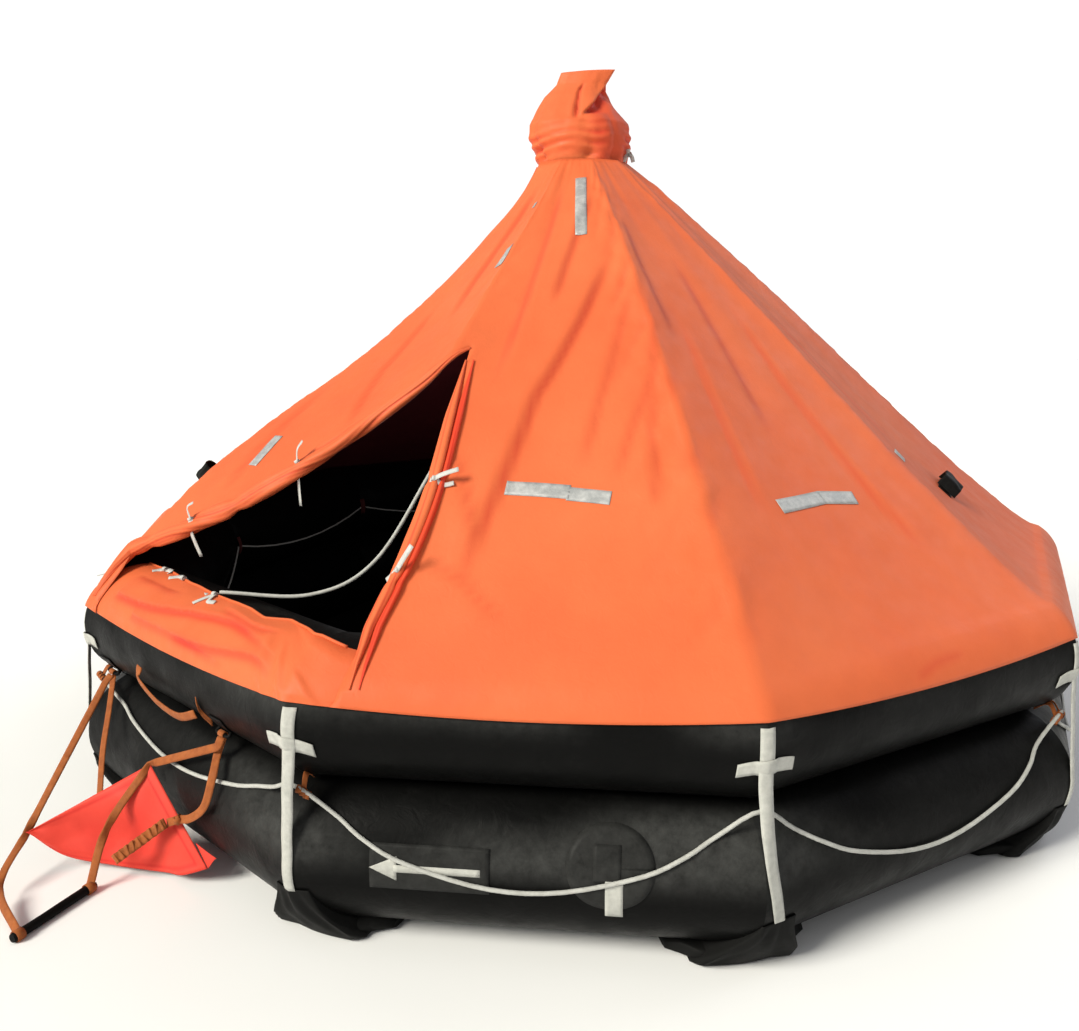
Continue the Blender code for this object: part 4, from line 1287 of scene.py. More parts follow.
# The sill's span in degrees round the raft, its upper edge as (place along the side, angle
# on the upper tube), its folds like the canopy's, and where it's sewn to the canopy as
# (azimuth, height)
SILL_SPAN = (-18.4, 23.2)
SILL_LINE = [(-0.70, 99), (-0.42, 96), (-0.26, 88), (0.015, 82), (0.22, 80), (0.31, 76), (0.39, 86),
             (0.53, 88), (0.70, 84)]
SILL_FOLDS = [
    ([(-0.47, 47), (-0.41, 46), (-0.21, 47), (0.05, 57), (0.22, 62), (0.36, 58), (0.54, 48)],
     0.018, 0.006, 0.050),
    ([(-0.06, 32), (0.10, 34), (0.23, 37), (0.42, 44), (0.54, 36)], 0.013, 0.005, 0.035),
    ([(-0.30, 36), (-0.24, 34), (0.06, 33), (0.33, 27)], 0.010, 0.006, 0.035),
    ([(0.12, 72), (0.24, 68), (0.34, 66), (0.46, 72)], 0.010, 0.006, 0.030),
    ([(-0.45, 72), (-0.30, 70), (-0.10, 68)], -0.008, 0.010, 0.040),
]
SILL_TOP = [(-18.4, 0.885), (10.0, 0.872), (16.2, 0.868), (18.7, 0.860), (21.5, 0.836), (23.2, 0.828)]


def off_tube(points, reach):
    """Points near sides 0 and 1, moved out to where they clear the upper tube."""
    outs = [points @ np.array(on_side(side, 0, 1, 0)) for side in (0, 1)]
    nearer = outs[0] > outs[1]
    out = np.where(nearer, outs[0], outs[1]) - APOTHEM
    rise = points[..., 2] - UPPER_HEIGHT
    push = np.maximum(reach / np.maximum(np.hypot(out, rise), 0.01) - 1, 0)
    ways = np.where(nearer[..., None], on_side(0, 0, 1, 0), on_side(1, 0, 1, 0))
    return points + ways * (out * push)[..., None] + np.array((0, 0, 1)) * (rise * push)[..., None]


# Small pleats beside the sewn end, as (azimuth, width in degrees, depth)
SILL_PLEATS = ((20.2, 0.55, 0.006), (17.6, 0.5, 0.008), (15.2, 0.6, 0.006))
SILL_SEWN = (13, 20.5)
SILL_LIFT = 0.0028
SILL_CLOTH = 0.0020
SEWN_INSIDE = 0.004
SILL_SHADE_SHIFT = 0.008
SILL_DEEP_FOLD = 0.02
SILL_WAVES = 0.006
SILL_SMALL_WAVES = 0.003
SILL_CREASES = 0.0015
HEM_BAR = 0.0045
HEM_BAR_ENDS = 143


def sill_base(azimuth, t, reach):
    """The sill's smooth form: round the tube, and on the canopy's own surface at its sewn end."""
    corner = degrees(HALF)
    right = azimuth > corner
    hem_place = np.clip(azimuth / corner, -1, 1)
    hem = HEM - HEM_DIP * np.where(right, 1 - ((azimuth - 2 * corner) / corner) ** 2, 1 - hem_place ** 2)
    rough = APOTHEM * np.tan(np.radians(azimuth))
    edge = np.radians(np.interp(rough, *np.array(SILL_LINE).T))
    angle = hem + (edge - hem) * t
    out = APOTHEM + reach * np.cos(angle)
    height = UPPER_HEIGHT + reach * np.sin(angle)
    wrap = np.empty((*angle.shape, 3))
    for side, chosen in ((0, ~right), (1, right)):
        along = out * np.tan(np.radians(azimuth - 2 * corner * side))
        wrap[:, chosen] = on_side(side, along, out, height)[:, chosen]
    levels = np.interp(azimuth, *np.array(SILL_TOP).T)
    top = np.array([canopy_place(where, level)[2] for where, level in zip(azimuth, levels)])
    u = (1 + np.tan(np.radians(azimuth - 2 * corner * right)) / tan(HALF)) / 2
    side = np.broadcast_to(right.astype(int)[None, :], angle.shape)
    sewn = canopy_point(side, np.broadcast_to(u, angle.shape), -1 + (top + 1) * t, SEWN_INSIDE)
    share = smoothstep(azimuth, *SILL_SEWN)[None, :]
    return off_tube(wrap + (sewn - wrap) * share[..., None], reach), share


def make_sill():
    """The flap over the upper tube at the entrance, which joins the canopy right of the door."""
    azimuth = np.linspace(*SILL_SPAN, 150)
    t = np.linspace(0, 1, 52)[:, None]
    base, share = sill_base(azimuth, t, UPPER_TUBE + SILL_LIFT)
    facing = facing_of(base)
    lift = np.zeros(base.shape[:-1])
    shade = np.zeros(base.shape[:-1])
    for places, depth, sharp, spread in SILL_FOLDS:
        line = np.array(smooth_route([on_tube(UPPER, 0, s, radians(a)) for s, a in places], 40))
        signed, place = from_line(base, facing, line)
        step = (1 + np.tanh(signed / sharp)) / 2
        fade = smoothstep(place, 0, 0.2) * (1 - smoothstep(place, 0.75, 1))
        lift += depth * step * np.exp(-np.abs(signed) / spread) * fade
        # Shade painted along the low side of each fold
        below = bell(signed + SILL_SHADE_SHIFT, FOLD_SHADE_WIDTH)
        shade += min(abs(depth) / SILL_DEEP_FOLD, 0.8) * below * fade
    free = smoothstep(t, 0.02, 0.22) * (1 - 0.7 * share)
    free = free * smoothstep(azimuth, -16.5, -12.5)[None, :]
    lift = np.maximum(lift, 0) * free
    waves = SILL_WAVES * (1 + speckle(base, 4, seed=6.1)) * free
    lift += waves + SILL_SMALL_WAVES * speckle(base, 16, (1, 1, 1), 2.2) * free
    lift += SILL_CREASES * np.maximum(speckle(base, 38, (1, 1, 0.4), 8.1), 0) * (1 - t) ** 2
    for middle, width, depth in SILL_PLEATS:
        lift += depth * bell(azimuth - middle + 3 * t, width) * (1 - smoothstep(t, 0.5, 0.8))
    grid = base + facing * lift[..., None]
    item = grid_object("door_sill_sheet", grid, canopy_cloth, painted_light_and_dust=shade)
    thicken(item, SILL_CLOTH, -1)
    finished(item, replaces=["door_sill_flap"])
    hem_bar = round_bar("door_sill_hem", evenly(grid[-1, :HEM_BAR_ENDS], 0.012), HEM_BAR, canopy_cloth, 8)
    return item, finished(hem_bar)


sill, sill_hem = make_sill()
sill_faces = faces_of(sill)
canopy_faces = faces_of(canopy)


SLANT_TIES = (0.585, 0.817)
UPRIGHT_TIES = (0.48, 0.83)
EDGE_PINCHES = (0.42, 0.72)
ROLL_SPACING = 0.008

# How thick each roll is along its length, as parts of the length and of its radius
CURTAIN_BODY = ((0, 0.10, 0.28, 0.60, 0.86, 0.93, 1), (0.15, 0.65, 1.0, 1.16, 1.0, 0.70, 0.30))
EDGE_BODY = ((0, 0.2, 0.6, 0.86, 1), (0.15, 0.90, 1.15, 0.75, 0.12))

# The routes' last places below the doorway's outline, as (azimuth, height)
SLANT_ROLL_FOOT = [(-17.95, 0.850), (-17.6, 0.800), (-17.2, 0.755)]
UPRIGHT_ROLL_FOOT = [(22.7, 0.80), (22.8, 0.750)]


def pinched(place, ties, depth=0.28, width=0.016):
    """1 along a roll, and less where ties hold it."""
    tight = np.ones(np.shape(place))
    for tie in ties:
        tight = tight - depth * bell(place - tie, width)
    return tight


def roll_layers(place, angle):
    """The rolled curtain's layers, wide and fine: 0 in the hollows between them."""
    turn = angle + 1.3 * np.sin(place * 5) + 0.5 * np.sin(place * 23)
    return np.abs(np.sin(1.5 * turn)) ** 0.6, np.abs(np.sin(3.5 * turn + 1 + 3 * place))


def curtain_shape(place, angle):
    """The rolled curtain's radius, as a part of its own."""
    body = np.interp(place, *CURTAIN_BODY)
    wide, fine = roll_layers(place, angle)
    soft = 0.06 * np.sin(31 * place + 2 * angle) * np.sin(17 * place)
    flat = 1 + 0.20 * np.cos(2 * angle + 0.6)
    return body * (0.72 + 0.26 * wide + 0.10 * fine + soft) * flat * pinched(place, SLANT_TIES)


def curtain_shade(place, angle):
    """The shade painted on the rolled curtain, deepest between its layers."""
    wide, fine = roll_layers(place, angle)
    return 0.9 * bell(wide, 0.30) + 0.5 * bell(fine, 0.18)


def make_rolls():
    """The curtain rolled up along the door's slanted edge, and the folded edge on its right."""
    slant = door_route(DOOR_SLANT, 120)
    foot = smooth_route([slant[-1], *(canopy_at(*place) for place in SLANT_ROLL_FOOT)], 12)
    item = round_bar("door_curtain_rolled", evenly([*slant[:-2], *foot], ROLL_SPACING), SLANT_ROLL,
                     canopy_cloth, 56, curtain_shape, curtain_shade)
    finished(item, replaces=["door_curtain_roll"])
    foot = [canopy_at(*place) for place in UPRIGHT_ROLL_FOOT]
    route = evenly([*door_route(DOOR_UPRIGHT, 80)[4:], *foot], ROLL_SPACING)
    facing = canopy_facing(23, 1.2)
    across = facing.cross(Vector((0, 0, 1))).normalized() * -1
    for name, shift, scale, material, slot, stands_for, phase in (
        ("door_edge_fold", across * -0.004 + facing * 0.003, 1.25, canopy_cloth, "canopy_cloth", (), 0.4),
        ("door_edge_rolled", across * 0.022 + facing * 0.004, 0.85, roll_cloth, "roll_cloth",
         ("door_edge_roll",), 2.1),
    ):
        def edge_shape(place, angle):
            layers = 0.85 + 0.22 * np.abs(np.sin(1.5 * angle + 4 * place + phase))
            flat = 1 + 0.35 * np.cos(2 * (angle - 0.5))
            return np.interp(place, *EDGE_BODY) * layers * flat * pinched(place, EDGE_PINCHES)

        # Shade painted in the hollows between the folded edge's layers
        def edge_shade(place, angle):
            return 0.8 * bell(np.sin(1.5 * angle + 4 * place + phase), 0.25)

        item = round_bar(name, route + np.array(shift), UPRIGHT_ROLL * scale, material, 32, edge_shape,
                         edge_shade)
        finished(item, replaces=stands_for)


make_rolls()

TAPE_WIDTH = 0.016


def tail_grid(points, facing, width=TAPE_WIDTH):
    """A tape's loose end through a few points, flat towards `facing`."""
    route = smooth_route(points, 12)
    ways = np.gradient(np.array(route), axis=0)
    return ribbon_grid(route, np.cross(np.array(facing), ways), width, 2)


PICTURE_RIGHT = Vector((0.79, 0.61, 0)).normalized()


def tie_grids(centre, way, radius, facing, tails):
    """White tape tied round a roll: its loop, its knot and its loose ends."""
    centre, way, facing = Vector(centre), Vector(way).normalized(), Vector(facing)
    knot = centre + facing * (radius + 0.004)
    grids = [loop_grid(centre, way, radius + 0.0015, TAPE_WIDTH * 1.2),
             loop_grid(knot, way, 0.0055, TAPE_WIDTH), loop_grid(knot, facing, 0.007, 0.006)]
    for tail in tails:
        points = [knot] + [knot + PICTURE_RIGHT * across + Vector((0, 0, rise)) + facing * out
                           for across, rise, out in tail]
        grids.append(tail_grid(points, facing))
    return grids


# The ties' loose ends. From a roll's knot, each point is (towards the picture's right, up,
# out from the canopy). On the sill, a knot is (place along the side, angle on the tube), and
# its points are (along, up over the tube). At the left corner they are (x, y, z).
SLANT_TAILS = [
    [[(0.012, 0.03, 0.014), (0.030, 0.060, 0.012)], [(0.008, -0.07, 0.012), (0.010, -0.155, 0.010)]],
    [[(0.002, 0.03, 0.014), (0.022, 0.050, 0.010)], [(0.010, -0.060, 0.014), (0.032, -0.135, 0.006)]],
]
UPRIGHT_TAILS = [
    [[(0.03, 0.012, 0.004), (0.075, 0.028, 0.002)], [(0.03, -0.02, 0.004), (0.06, -0.012, 0)]],
    [[(0.02, 0.03, 0.004), (0.045, 0.07, 0.002)], [(-0.01, -0.015, 0.004), (-0.03, -0.03, 0)]],
]
SILL_KNOTS = [
    (-0.399, 91, [[(-0.02, -0.01), (-0.03, -0.03)], [(0.03, 0.006), (0.05, -0.01)]]),
    (-0.235, 86, [[(-0.035, 0.005), (-0.06, -0.02)], [(0.02, 0.006), (0.04, 0.005)]]),
    (0.010, 80, [[(-0.03, 0.02), (-0.045, -0.01)], [(0.03, -0.035), (0.06, -0.03)],
                 [(-0.01, -0.03), (-0.02, -0.06)]]),
]
CORNER_TAILS = ((-0.020, 0.01, -0.035), (0.012, -0.012, -0.052), (-0.035, 0.0, -0.012))
CORNER_KNOT_ANGLE = radians(62)
TIE_CLOTH = 0.0010


def roll_ties(route, ties, tails, radius, facing):
    """The tapes tied round a roll, at parts of a route of a hundred pieces."""
    grids = []
    for tie, ends in zip(ties, tails):
        i = round(tie * 100)
        grids += tie_grids(route[i], route[i + 1] - route[i - 1], radius, facing, ends)
    return grids


def sill_place(along, angle, lift):
    """A point on the sill sheet, found from outside along the tube's own direction."""
    foot = Vector(on_tube(UPPER, 0, along, radians(angle)))
    out = (Vector(on_tube(UPPER, 0, along, radians(angle), 1)) - foot).normalized()
    hit = sill_faces.ray_cast(foot + out * 0.2, -out)[0]
    return (hit if hit is not None else foot) + out * lift


def make_ties():
    """The white tapes that hold the rolls and the sill."""
    slant, upright = door_route(DOOR_SLANT, 100), door_route(DOOR_UPRIGHT, 100)
    grids = roll_ties(slant, SLANT_TIES, SLANT_TAILS, SLANT_ROLL * 0.85, canopy_facing(5, 1.3))
    grids += roll_ties(upright, UPRIGHT_TIES, UPRIGHT_TAILS, UPRIGHT_ROLL, canopy_facing(23, 1.2))
    for along, angle, ends in SILL_KNOTS:
        knot = sill_place(along, angle, 0.006)
        grids.append(loop_grid(knot, (1, 0, 0), 0.008, TAPE_WIDTH))
        grids.append(loop_grid(knot, (0, 0, 1), 0.008, TAPE_WIDTH / 2))
        for end in ends:
            places = [(along + x, angle + degrees(rise / UPPER_TUBE)) for x, rise in end]
            points = [knot] + [sill_place(*place, 0.003) for place in places]
            grids.append(tail_grid(points, Vector((0, -0.5, 0.85))))
    knot = Vector(over_corner(UPPER, 0, np.array(-0.01), np.array(CORNER_KNOT_ANGLE), 0.012))
    for x, y, z in CORNER_TAILS:
        middle = knot + Vector((x, y - 0.02, z)) * 0.6
        grids.append(tail_grid([knot, middle, knot + Vector((x, y - 0.04, z))], (-0.4, -0.8, 0.4)))
    thin_piece("door_ties", grids, white_tape, TIE_CLOTH)


make_ties()


# Reflective tapes and vents on the canopy

def strip_on_cloth(start, end, width, lift=0.0012, columns=26, rows=4):
    """Points of a strip laid on the canopy between two (azimuth, height) places."""
    first, last = canopy_at(*start), canopy_at(*end)
    facing = canopy_facing((start[0] + end[0]) / 2, (start[1] + end[1]) / 2)
    across = facing.cross(last - first).normalized()
    grid = np.empty((rows + 1, columns + 1, 3))
    for row in range(rows + 1):
        for column in range(columns + 1):
            point = first.lerp(last, column / columns) + across * width * (row / rows - 0.5)
            hit = canopy_faces.ray_cast(point + facing * 0.3, -facing)[0]
            grid[row, column] = (hit if hit is not None else point) + facing * lift
    return grid


TAPE = 0.050
TAPES = [
    ((40.8, 2.191), (40.8, 1.963), TAPE * 0.84),
    ((31.8, 1.205), (39.4, 1.194), TAPE),
    ((39.1, 1.190), (44.0, 1.182), TAPE * 0.96),
    ((63.9, 1.136), (71.6, 1.141), TAPE),
    ((71.4, 1.141), (77.1, 1.127), TAPE),
    ((92.6, 1.205), (95.6, 1.205), TAPE),
    ((-11.6, 1.275), (-10.4, 1.185), TAPE * 0.9),
    ((14.8, 1.935), (15.0, 1.860), TAPE * 0.8),
    ((11.0, 2.110), (11.0, 2.090), TAPE * 0.35),
    ((140.0, 1.30), (148.0, 1.30), TAPE),
    ((176.0, 1.75), (184.0, 1.75), TAPE),
    ((212.0, 1.30), (220.0, 1.30), TAPE),
    ((284.0, 1.30), (292.0, 1.30), TAPE),
    ((220.8, 2.15), (220.8, 1.96), TAPE),
]


def make_tapes():
    """The grey reflective tapes, which lie wrinkled on the cloth."""
    grids = [strip_on_cloth(*tape) for tape in TAPES]
    thin_piece("reflective_tapes", grids, tape_grey, 0.0008, 1)


VENT_SCALE = {"left": 0.72, "right": 1.0}
VENT_SHOULDERS = 0.45
VENT_SLUMP = 0.010
VENT_CLOTH = 0.0024
FLANGE_WIDTH = 0.060
FLANGE_LIFT = 0.0010


def make_vents():
    """Two black cloth hoods, each with a strip glued to the canopy."""
    for name, (azimuth, height) in VENTS.items():
        scale = VENT_SCALE[name]
        out = Vector(round_raft(radians(azimuth), GORE_SAG_IN, GORE_SAG_DOWN))
        down = Vector(round_raft(radians(azimuth), GORE_SAG_DOWN, -GORE_SAG_IN))
        feet = [canopy_at(azimuth + turn, height) for turn in (-VENT_HALF_SPAN, VENT_HALF_SPAN)]
        middle = (feet[0] + feet[1]) / 2
        feet = [foot + out * (WEBBING / 2 + 3 * GAP) for foot in feet]
        feet = [middle + (foot - middle) * scale for foot in feet]
        tops = [foot.lerp(middle, VENT_SHOULDERS) + out * VENT_RISE * 0.8 * scale for foot in feet]
        route = np.array(smooth_route([feet[0], *tops, feet[1]], 30))
        part = np.linspace(-0.5, 0.5, 11)[None, :, None]
        grid = route[:, None, :] + np.array(down) * part * VENT_WIDTH * 0.8 * scale
        arch = np.sin(np.linspace(0, pi, 31))[:, None]
        slump = VENT_SLUMP * arch * (speckle(grid, 22, seed=3.3) - 0.6 * (part[..., 0] + 0.5) ** 2)
        grid = grid + np.array(out) * slump[..., None]
        reach = VENT_HALF_SPAN * 1.25 * scale
        ends = (azimuth - reach, height), (azimuth + reach, height)
        flange = strip_on_cloth(*ends, FLANGE_WIDTH, FLANGE_LIFT, 12, 8)
        thin_piece(f"vent_hood_{name}", [grid, flange], trim_rubber, VENT_CLOTH,
                   replaces=[f"vent_collar_{name}"])


make_tapes()
make_vents()


# The gathered peak, as (height, half width, flatness, shift towards the right of the picture)

PEAK_OUTLINE = [
    (2.255, 0.172, 0.98, 0.006), (2.285, 0.182, 0.96, 0.008), (2.334, 0.194, 0.93, 0.004),
    (2.375, 0.207, 0.90, -0.004), (2.429, 0.201, 0.85, -0.008), (2.467, 0.176, 0.78, -0.012),
    (2.490, 0.160, 0.72, -0.015), (2.539, 0.131, 0.56, -0.016), (2.558, 0.114, 0.50, -0.012),
    (2.585, 0.099, 0.42, 0.002), (2.611, 0.103, 0.32, 0.015), (2.634, 0.106, 0.24, 0.026),
]
PEAK_ROWS = 90
PEAK_COLUMNS = 120
PEAK_AZIMUTH = radians(40)

# The gathers' depth at each height, and the slanting ruffle round the tie
GATHERS = ((2.27, 2.30, 2.33, 2.42, 2.60), (0.03, 0.10, 0.05, 0.035, 0.02))
TIE_HEIGHT = 2.335
TIE_SLANT = 0.022
TIE_WANDER = 0.012
RUFFLE_SPACING = 0.036
RUFFLE_DEPTH = 0.034
RUFFLE_REACH = 0.05

# The folded flap in front: the heights where its crease starts and ends and where its own
# edge and what lies behind it start, the slopes of both lines, and how far each swells
CREASE_STARTS = (2.425, 2.46)
CREASE_ENDS = (2.56, 2.59)
CREASE_MIDDLE = 2.50
FLAP_STARTS = (2.440, 2.452)
BEHIND_STARTS = (2.446, 2.465)
CREASE_DEPTH = 0.20
FLAP_SWELL = 0.10
BEHIND_FLAP = 0.18
FLAP_EDGE_SLOPE = 6.5
CREASE_SLOPE = -1.2

# The knot on the peak: how far right, how far out and how high, and its ends as (right, up)
PEAK_KNOT = (0.196, 0.040, 2.312)
PEAK_TAILS = ((0.016, -0.030), (-0.022, -0.028), (-0.006, 0.020))
PEAK_TAPE = 0.0014


def peak_swell(height, angle):
    """How far the gathered cloth swells at each point, and the shade painted on it: in its crease, behind
    its flap, in its ruffles and over its right side.
    """
    turn = np.stack(np.broadcast_arrays(np.cos(angle), np.sin(angle), height * 3), axis=-1)
    gathers = np.abs(np.sin(3.5 * angle + 2.5 * speckle(turn, 1.1, seed=4.2) + 4 * (height - 2.3)))
    deep = np.interp(height, *GATHERS)
    arch = height - TIE_HEIGHT - TIE_SLANT * np.sin(angle + 0.4) + TIE_WANDER * speckle(turn, 1.5, seed=9.9)
    wrinkle = np.sin(arch * 2 * pi / RUFFLE_SPACING + 2.5 * speckle(turn, 1.6, seed=3.9))
    patchy = np.clip(0.45 + 1.8 * speckle(turn, 1.6, seed=6.0), 0, 1.2)
    ruffled = RUFFLE_DEPTH * bell(arch, RUFFLE_REACH) * patchy
    ripple = 0.05 * speckle(turn, 2.2, seed=1.1) + 0.018 * speckle(turn, 7, seed=2.7)
    swell = 1 - deep * (1 - gathers) * 1.5 + ruffled * wrinkle + ripple
    front = smoothstep(np.sin(angle), -0.1, 0.3)
    line = np.cos(angle) - 0.02 + (height - CREASE_MIDDLE) * CREASE_SLOPE
    crease = bell(line, 0.05) * front * smoothstep(height, *CREASE_STARTS)
    crease = crease * (1 - smoothstep(height, *CREASE_ENDS))
    free_edge = np.cos(angle) - 0.16 - (height - FLAP_STARTS[1]) * FLAP_EDGE_SLOPE
    flap = (1 - smoothstep(free_edge, -0.08, 0.0)) * front * smoothstep(height, *FLAP_STARTS)
    behind = smoothstep(free_edge, -0.08, 0.05) * front * smoothstep(height, *BEHIND_STARTS)
    swell = swell - CREASE_DEPTH * crease + FLAP_SWELL * flap * smoothstep(np.cos(angle), -0.3, 0.4)
    swell = swell - BEHIND_FLAP * behind * (1 - smoothstep(free_edge, 0.15, 0.5))
    # Painted shade in the crease, a painted shadow behind the flap, and painted shade in the ruffles'
    # hollows
    shade = 0.8 * crease + 0.9 * behind * (1 - smoothstep(free_edge, 0.12, 0.40))
    shade = shade + np.maximum(-wrinkle, 0) * ruffled * 16
    # The right side, which is turned from the light, is painted in shade
    return swell, shade + 0.55 * smoothstep(np.cos(angle), 0.12, 0.45) * (1 - flap)


def make_peak():
    """The canopy's top, gathered, tied and folded over."""
    heights, widths, flats, shifts = np.array(PEAK_OUTLINE).T
    height = np.linspace(heights[0], heights[-1], PEAK_ROWS)[:, None]
    width, flat, shift = (np.interp(height, heights, values) for values in (widths, flats, shifts))
    outward = np.array(round_raft(PEAK_AZIMUTH, 1, 0))
    sideways = np.array(round_raft(PEAK_AZIMUTH + pi / 2, 1, 0))
    angle = np.linspace(0, 2 * pi, PEAK_COLUMNS, endpoint=False)[None, :]
    swell, shade = peak_swell(height, angle)
    across = width * np.cos(angle) * swell + shift
    depth = width * flat * np.sin(angle) * swell
    tilt = 0.004 * smoothstep(height, 2.58, 2.63) * np.cos(angle)
    grid = (sideways * across[..., None] + outward * depth[..., None]
            + np.array((0, 0, 1)) * (height + tilt)[..., None])
    item = grid_object("peak_gathered", grid, canopy_cloth, around=True, painted_light_and_dust=shade)
    capped(item, PEAK_ROWS, PEAK_COLUMNS)
    finished(item, replaces=["peak_bundle"])
    facing, right = Vector(outward), Vector(sideways)
    knot_right, knot_out, knot_height = PEAK_KNOT
    knot = Vector((0, 0, knot_height)) + right * knot_right + facing * knot_out
    grids = [loop_grid(knot, facing, 0.010, 0.014)]
    for x, z in PEAK_TAILS:
        middle = knot + right * x * 0.6 + Vector((0, 0, z * 0.3))
        grids.append(tail_grid([knot, middle, knot + right * x + Vector((0, 0, z))], facing))
    thin_piece("peak_tie", grids, white_tape, PEAK_TAPE)


make_peak()


# The boarding ladder

# The handle's webbing, and its loose end as (place along the side, angle on the upper tube)
HANDLE_LIFT = 0.0012
HANDLE_FACING = (0, -1, -0.25)
HANDLE_TAIL = ((0.148, -14), (0.139, -27), (0.152, -41))

# The anchors' patches and bars, and how the straps twist where they bend
ANCHOR_PATCH_HALF = 0.036
ANCHOR_PATCH_ANGLES = (-52, -26)
ANCHOR_PATCH = 0.0026
BAR_RADIUS = 0.0058
BAR_HALF = 0.030
BAR_EARS = 0.016
STRAP_TWIST = radians(62)
STRAP_TWIST_SPAN = 4.5
LADDER_SPACING = 0.008


def hinge_bar():
    """Where the ladder's hinge line lies: its y and z."""
    reach = UPPER_TUBE + ANCHOR_LIFT
    return -APOTHEM - reach * cos(ANCHOR_ANGLE), UPPER_HEIGHT + reach * sin(ANCHOR_ANGLE)


def make_handle():
    """The grab handle's webbing under the sill, with its loose end."""
    out = APOTHEM + UPPER_TUBE + WEBBING / 2 + HANDLE_LIFT
    route = smooth_route([Vector(on_side(0, x, out + lift, height)) for x, lift, height in HANDLE], 48)
    across = np.cross(np.gradient(np.array(route), axis=0), np.array(HANDLE_FACING))
    tail = smooth_route([Vector(on_tube(UPPER, 0, s, radians(a), 0.005)) for s, a in HANDLE_TAIL], 10)
    grids = [ribbon_grid(route, across, LADDER_WEBBING * 1.1),
             ribbon_grid(tail, [(0.1, -0.1, 1)] * len(tail), LADDER_WEBBING)]
    thin_piece("grab_handle_webbing", grids, brown_webbing, WEBBING * 0.9,
               replaces=["grab_handle"])


def make_anchors():
    """A glued patch, a bar and its two ears for each ladder strap."""
    y, z = hinge_bar()
    ears = Vector((0, cos(ANCHOR_ANGLE), -sin(ANCHOR_ANGLE))) * BAR_EARS
    for name, x in zip(("left", "right"), ANCHOR_X):
        alongs = (x - ANCHOR_PATCH_HALF, x + ANCHOR_PATCH_HALF)
        patch = tube_grid(UPPER, 0, alongs, ANCHOR_PATCH_ANGLES, 0.0008, 12, 10)
        thin_piece(f"ladder_patch_{name}", [patch], trim_rubber, ANCHOR_PATCH, 1)
        middle = Vector((x, y, z))
        reach = Vector((BAR_HALF, 0, 0))
        feet = [middle - reach + ears, middle - reach, middle + reach, middle + reach + ears]
        route = evenly(smooth_route(feet, 30), 0.004)
        bar = round_bar(f"ladder_bar_{name}", route, BAR_RADIUS, trim_rubber, 10)
        finished(bar, replaces=[f"ladder_anchor_{name}"])


def rung_shape(place, angle):
    """The covered rung's radius, as a part of its own: a little uneven, and less at its ends."""
    return 0.97 + 0.03 * np.cos(3 * angle + 9 * place) - 0.12 * (np.abs(place - 0.5) > 0.49)


def ladder_strap(name, pin, step, end, rung_way, facing):
    """A strap from its sleeve on the bar, twisted where it passes the step, to its loop on the rung."""
    bend = Vector(STRAP_LOW[name])
    hang = Vector((0, step.y - pin.y, step.z - pin.z)).normalized()
    fall = pin + hang * 4 * SLEEVE_RADIUS
    upper = [fall.lerp(step, i / 8) for i in range(9)]
    lower = smooth_route([step, bend, end], 30)[1:]
    route = evenly([pin + hang * (SLEEVE_RADIUS + 0.001), *upper, *lower], LADDER_SPACING)
    across = np.cross(np.gradient(route, axis=0), np.array(facing))
    across /= np.linalg.norm(across, axis=1)[:, None]
    turn = np.zeros(len(route))
    for place in (step, bend):
        near = np.argmin(np.linalg.norm(np.array(route) - np.array(place), axis=1))
        turn += STRAP_TWIST * bell(np.arange(len(route)) - near, STRAP_TWIST_SPAN)
    turn = turn[:, None] + 0.10 * np.sin(np.linspace(0, 9, len(route)))[:, None]
    across = across * np.cos(turn) + np.array(facing) * np.sin(turn)
    grids = [ribbon_grid(route, across, LADDER_WEBBING, 4, 0.0008),
             loop_grid(pin, (1, 0, 0), SLEEVE_RADIUS - 0.0012, SLEEVE_LENGTH),
             loop_grid(end, rung_way, RUNG_RADIUS + 0.0022, LADDER_WEBBING)]
    thin_piece(f"ladder_webbing_{name}", grids, brown_webbing, WEBBING * 0.85,
               body="ladder", replaces=[f"ladder_strap_{name}"])


def make_ladder():
    """Two webbing straps, the cloth step, the rung and the webbing tucked across the step."""
    y, z = hinge_bar()
    rung_left, rung_right = (Vector((*place, RUNG_RADIUS + GAP)) for place in (RUNG_LEFT, RUNG_RIGHT))
    rung_way = (rung_left - rung_right).normalized()
    left, right, foot = Vector(STEP_LEFT), Vector(STEP_RIGHT), Vector(STEP_FOOT)
    facing = (left - right).cross(foot - right).normalized()
    bar = [rung_right.lerp(rung_left, i / 40) for i in range(41)]
    rung = round_bar("ladder_rung_covered", bar, RUNG_RADIUS, rung_cover, 16, rung_shape)
    finished(rung, "ladder", ["ladder_rung"])
    tuck = rung_way * RUNG_TUCK
    for name, x, step, end in (("left", ANCHOR_X[0], left, rung_left - tuck),
                               ("right", ANCHOR_X[1], right, rung_right + tuck)):
        ladder_strap(name, Vector((x, y, z)), step, end, rung_way, facing)
    make_step(left, right, foot, facing)
    make_tucked_webbing(facing, y, z)


# The step: its rows and columns with the widths that they span, then its creases and hems
STEP_COLUMNS = 64
STEP_ROWS = 30
STEP_ROWS_SPAN = 0.25
STEP_COLUMNS_SPAN = 0.30
STEP_SOFT = 0.05
STEP_WAVES = 0.010
STEP_SMALL_WAVES = 0.004
STEP_HEM_DEPTH = 0.0014
STEP_HEM_WIDTH = 0.014
STEP_SEAM = 0.018
STEP_SEAM_WIDTH = 0.0025
STEP_LOWEST = 0.003
STEP_CLOTH = 0.0018
TAB_OFFSET = 0.007


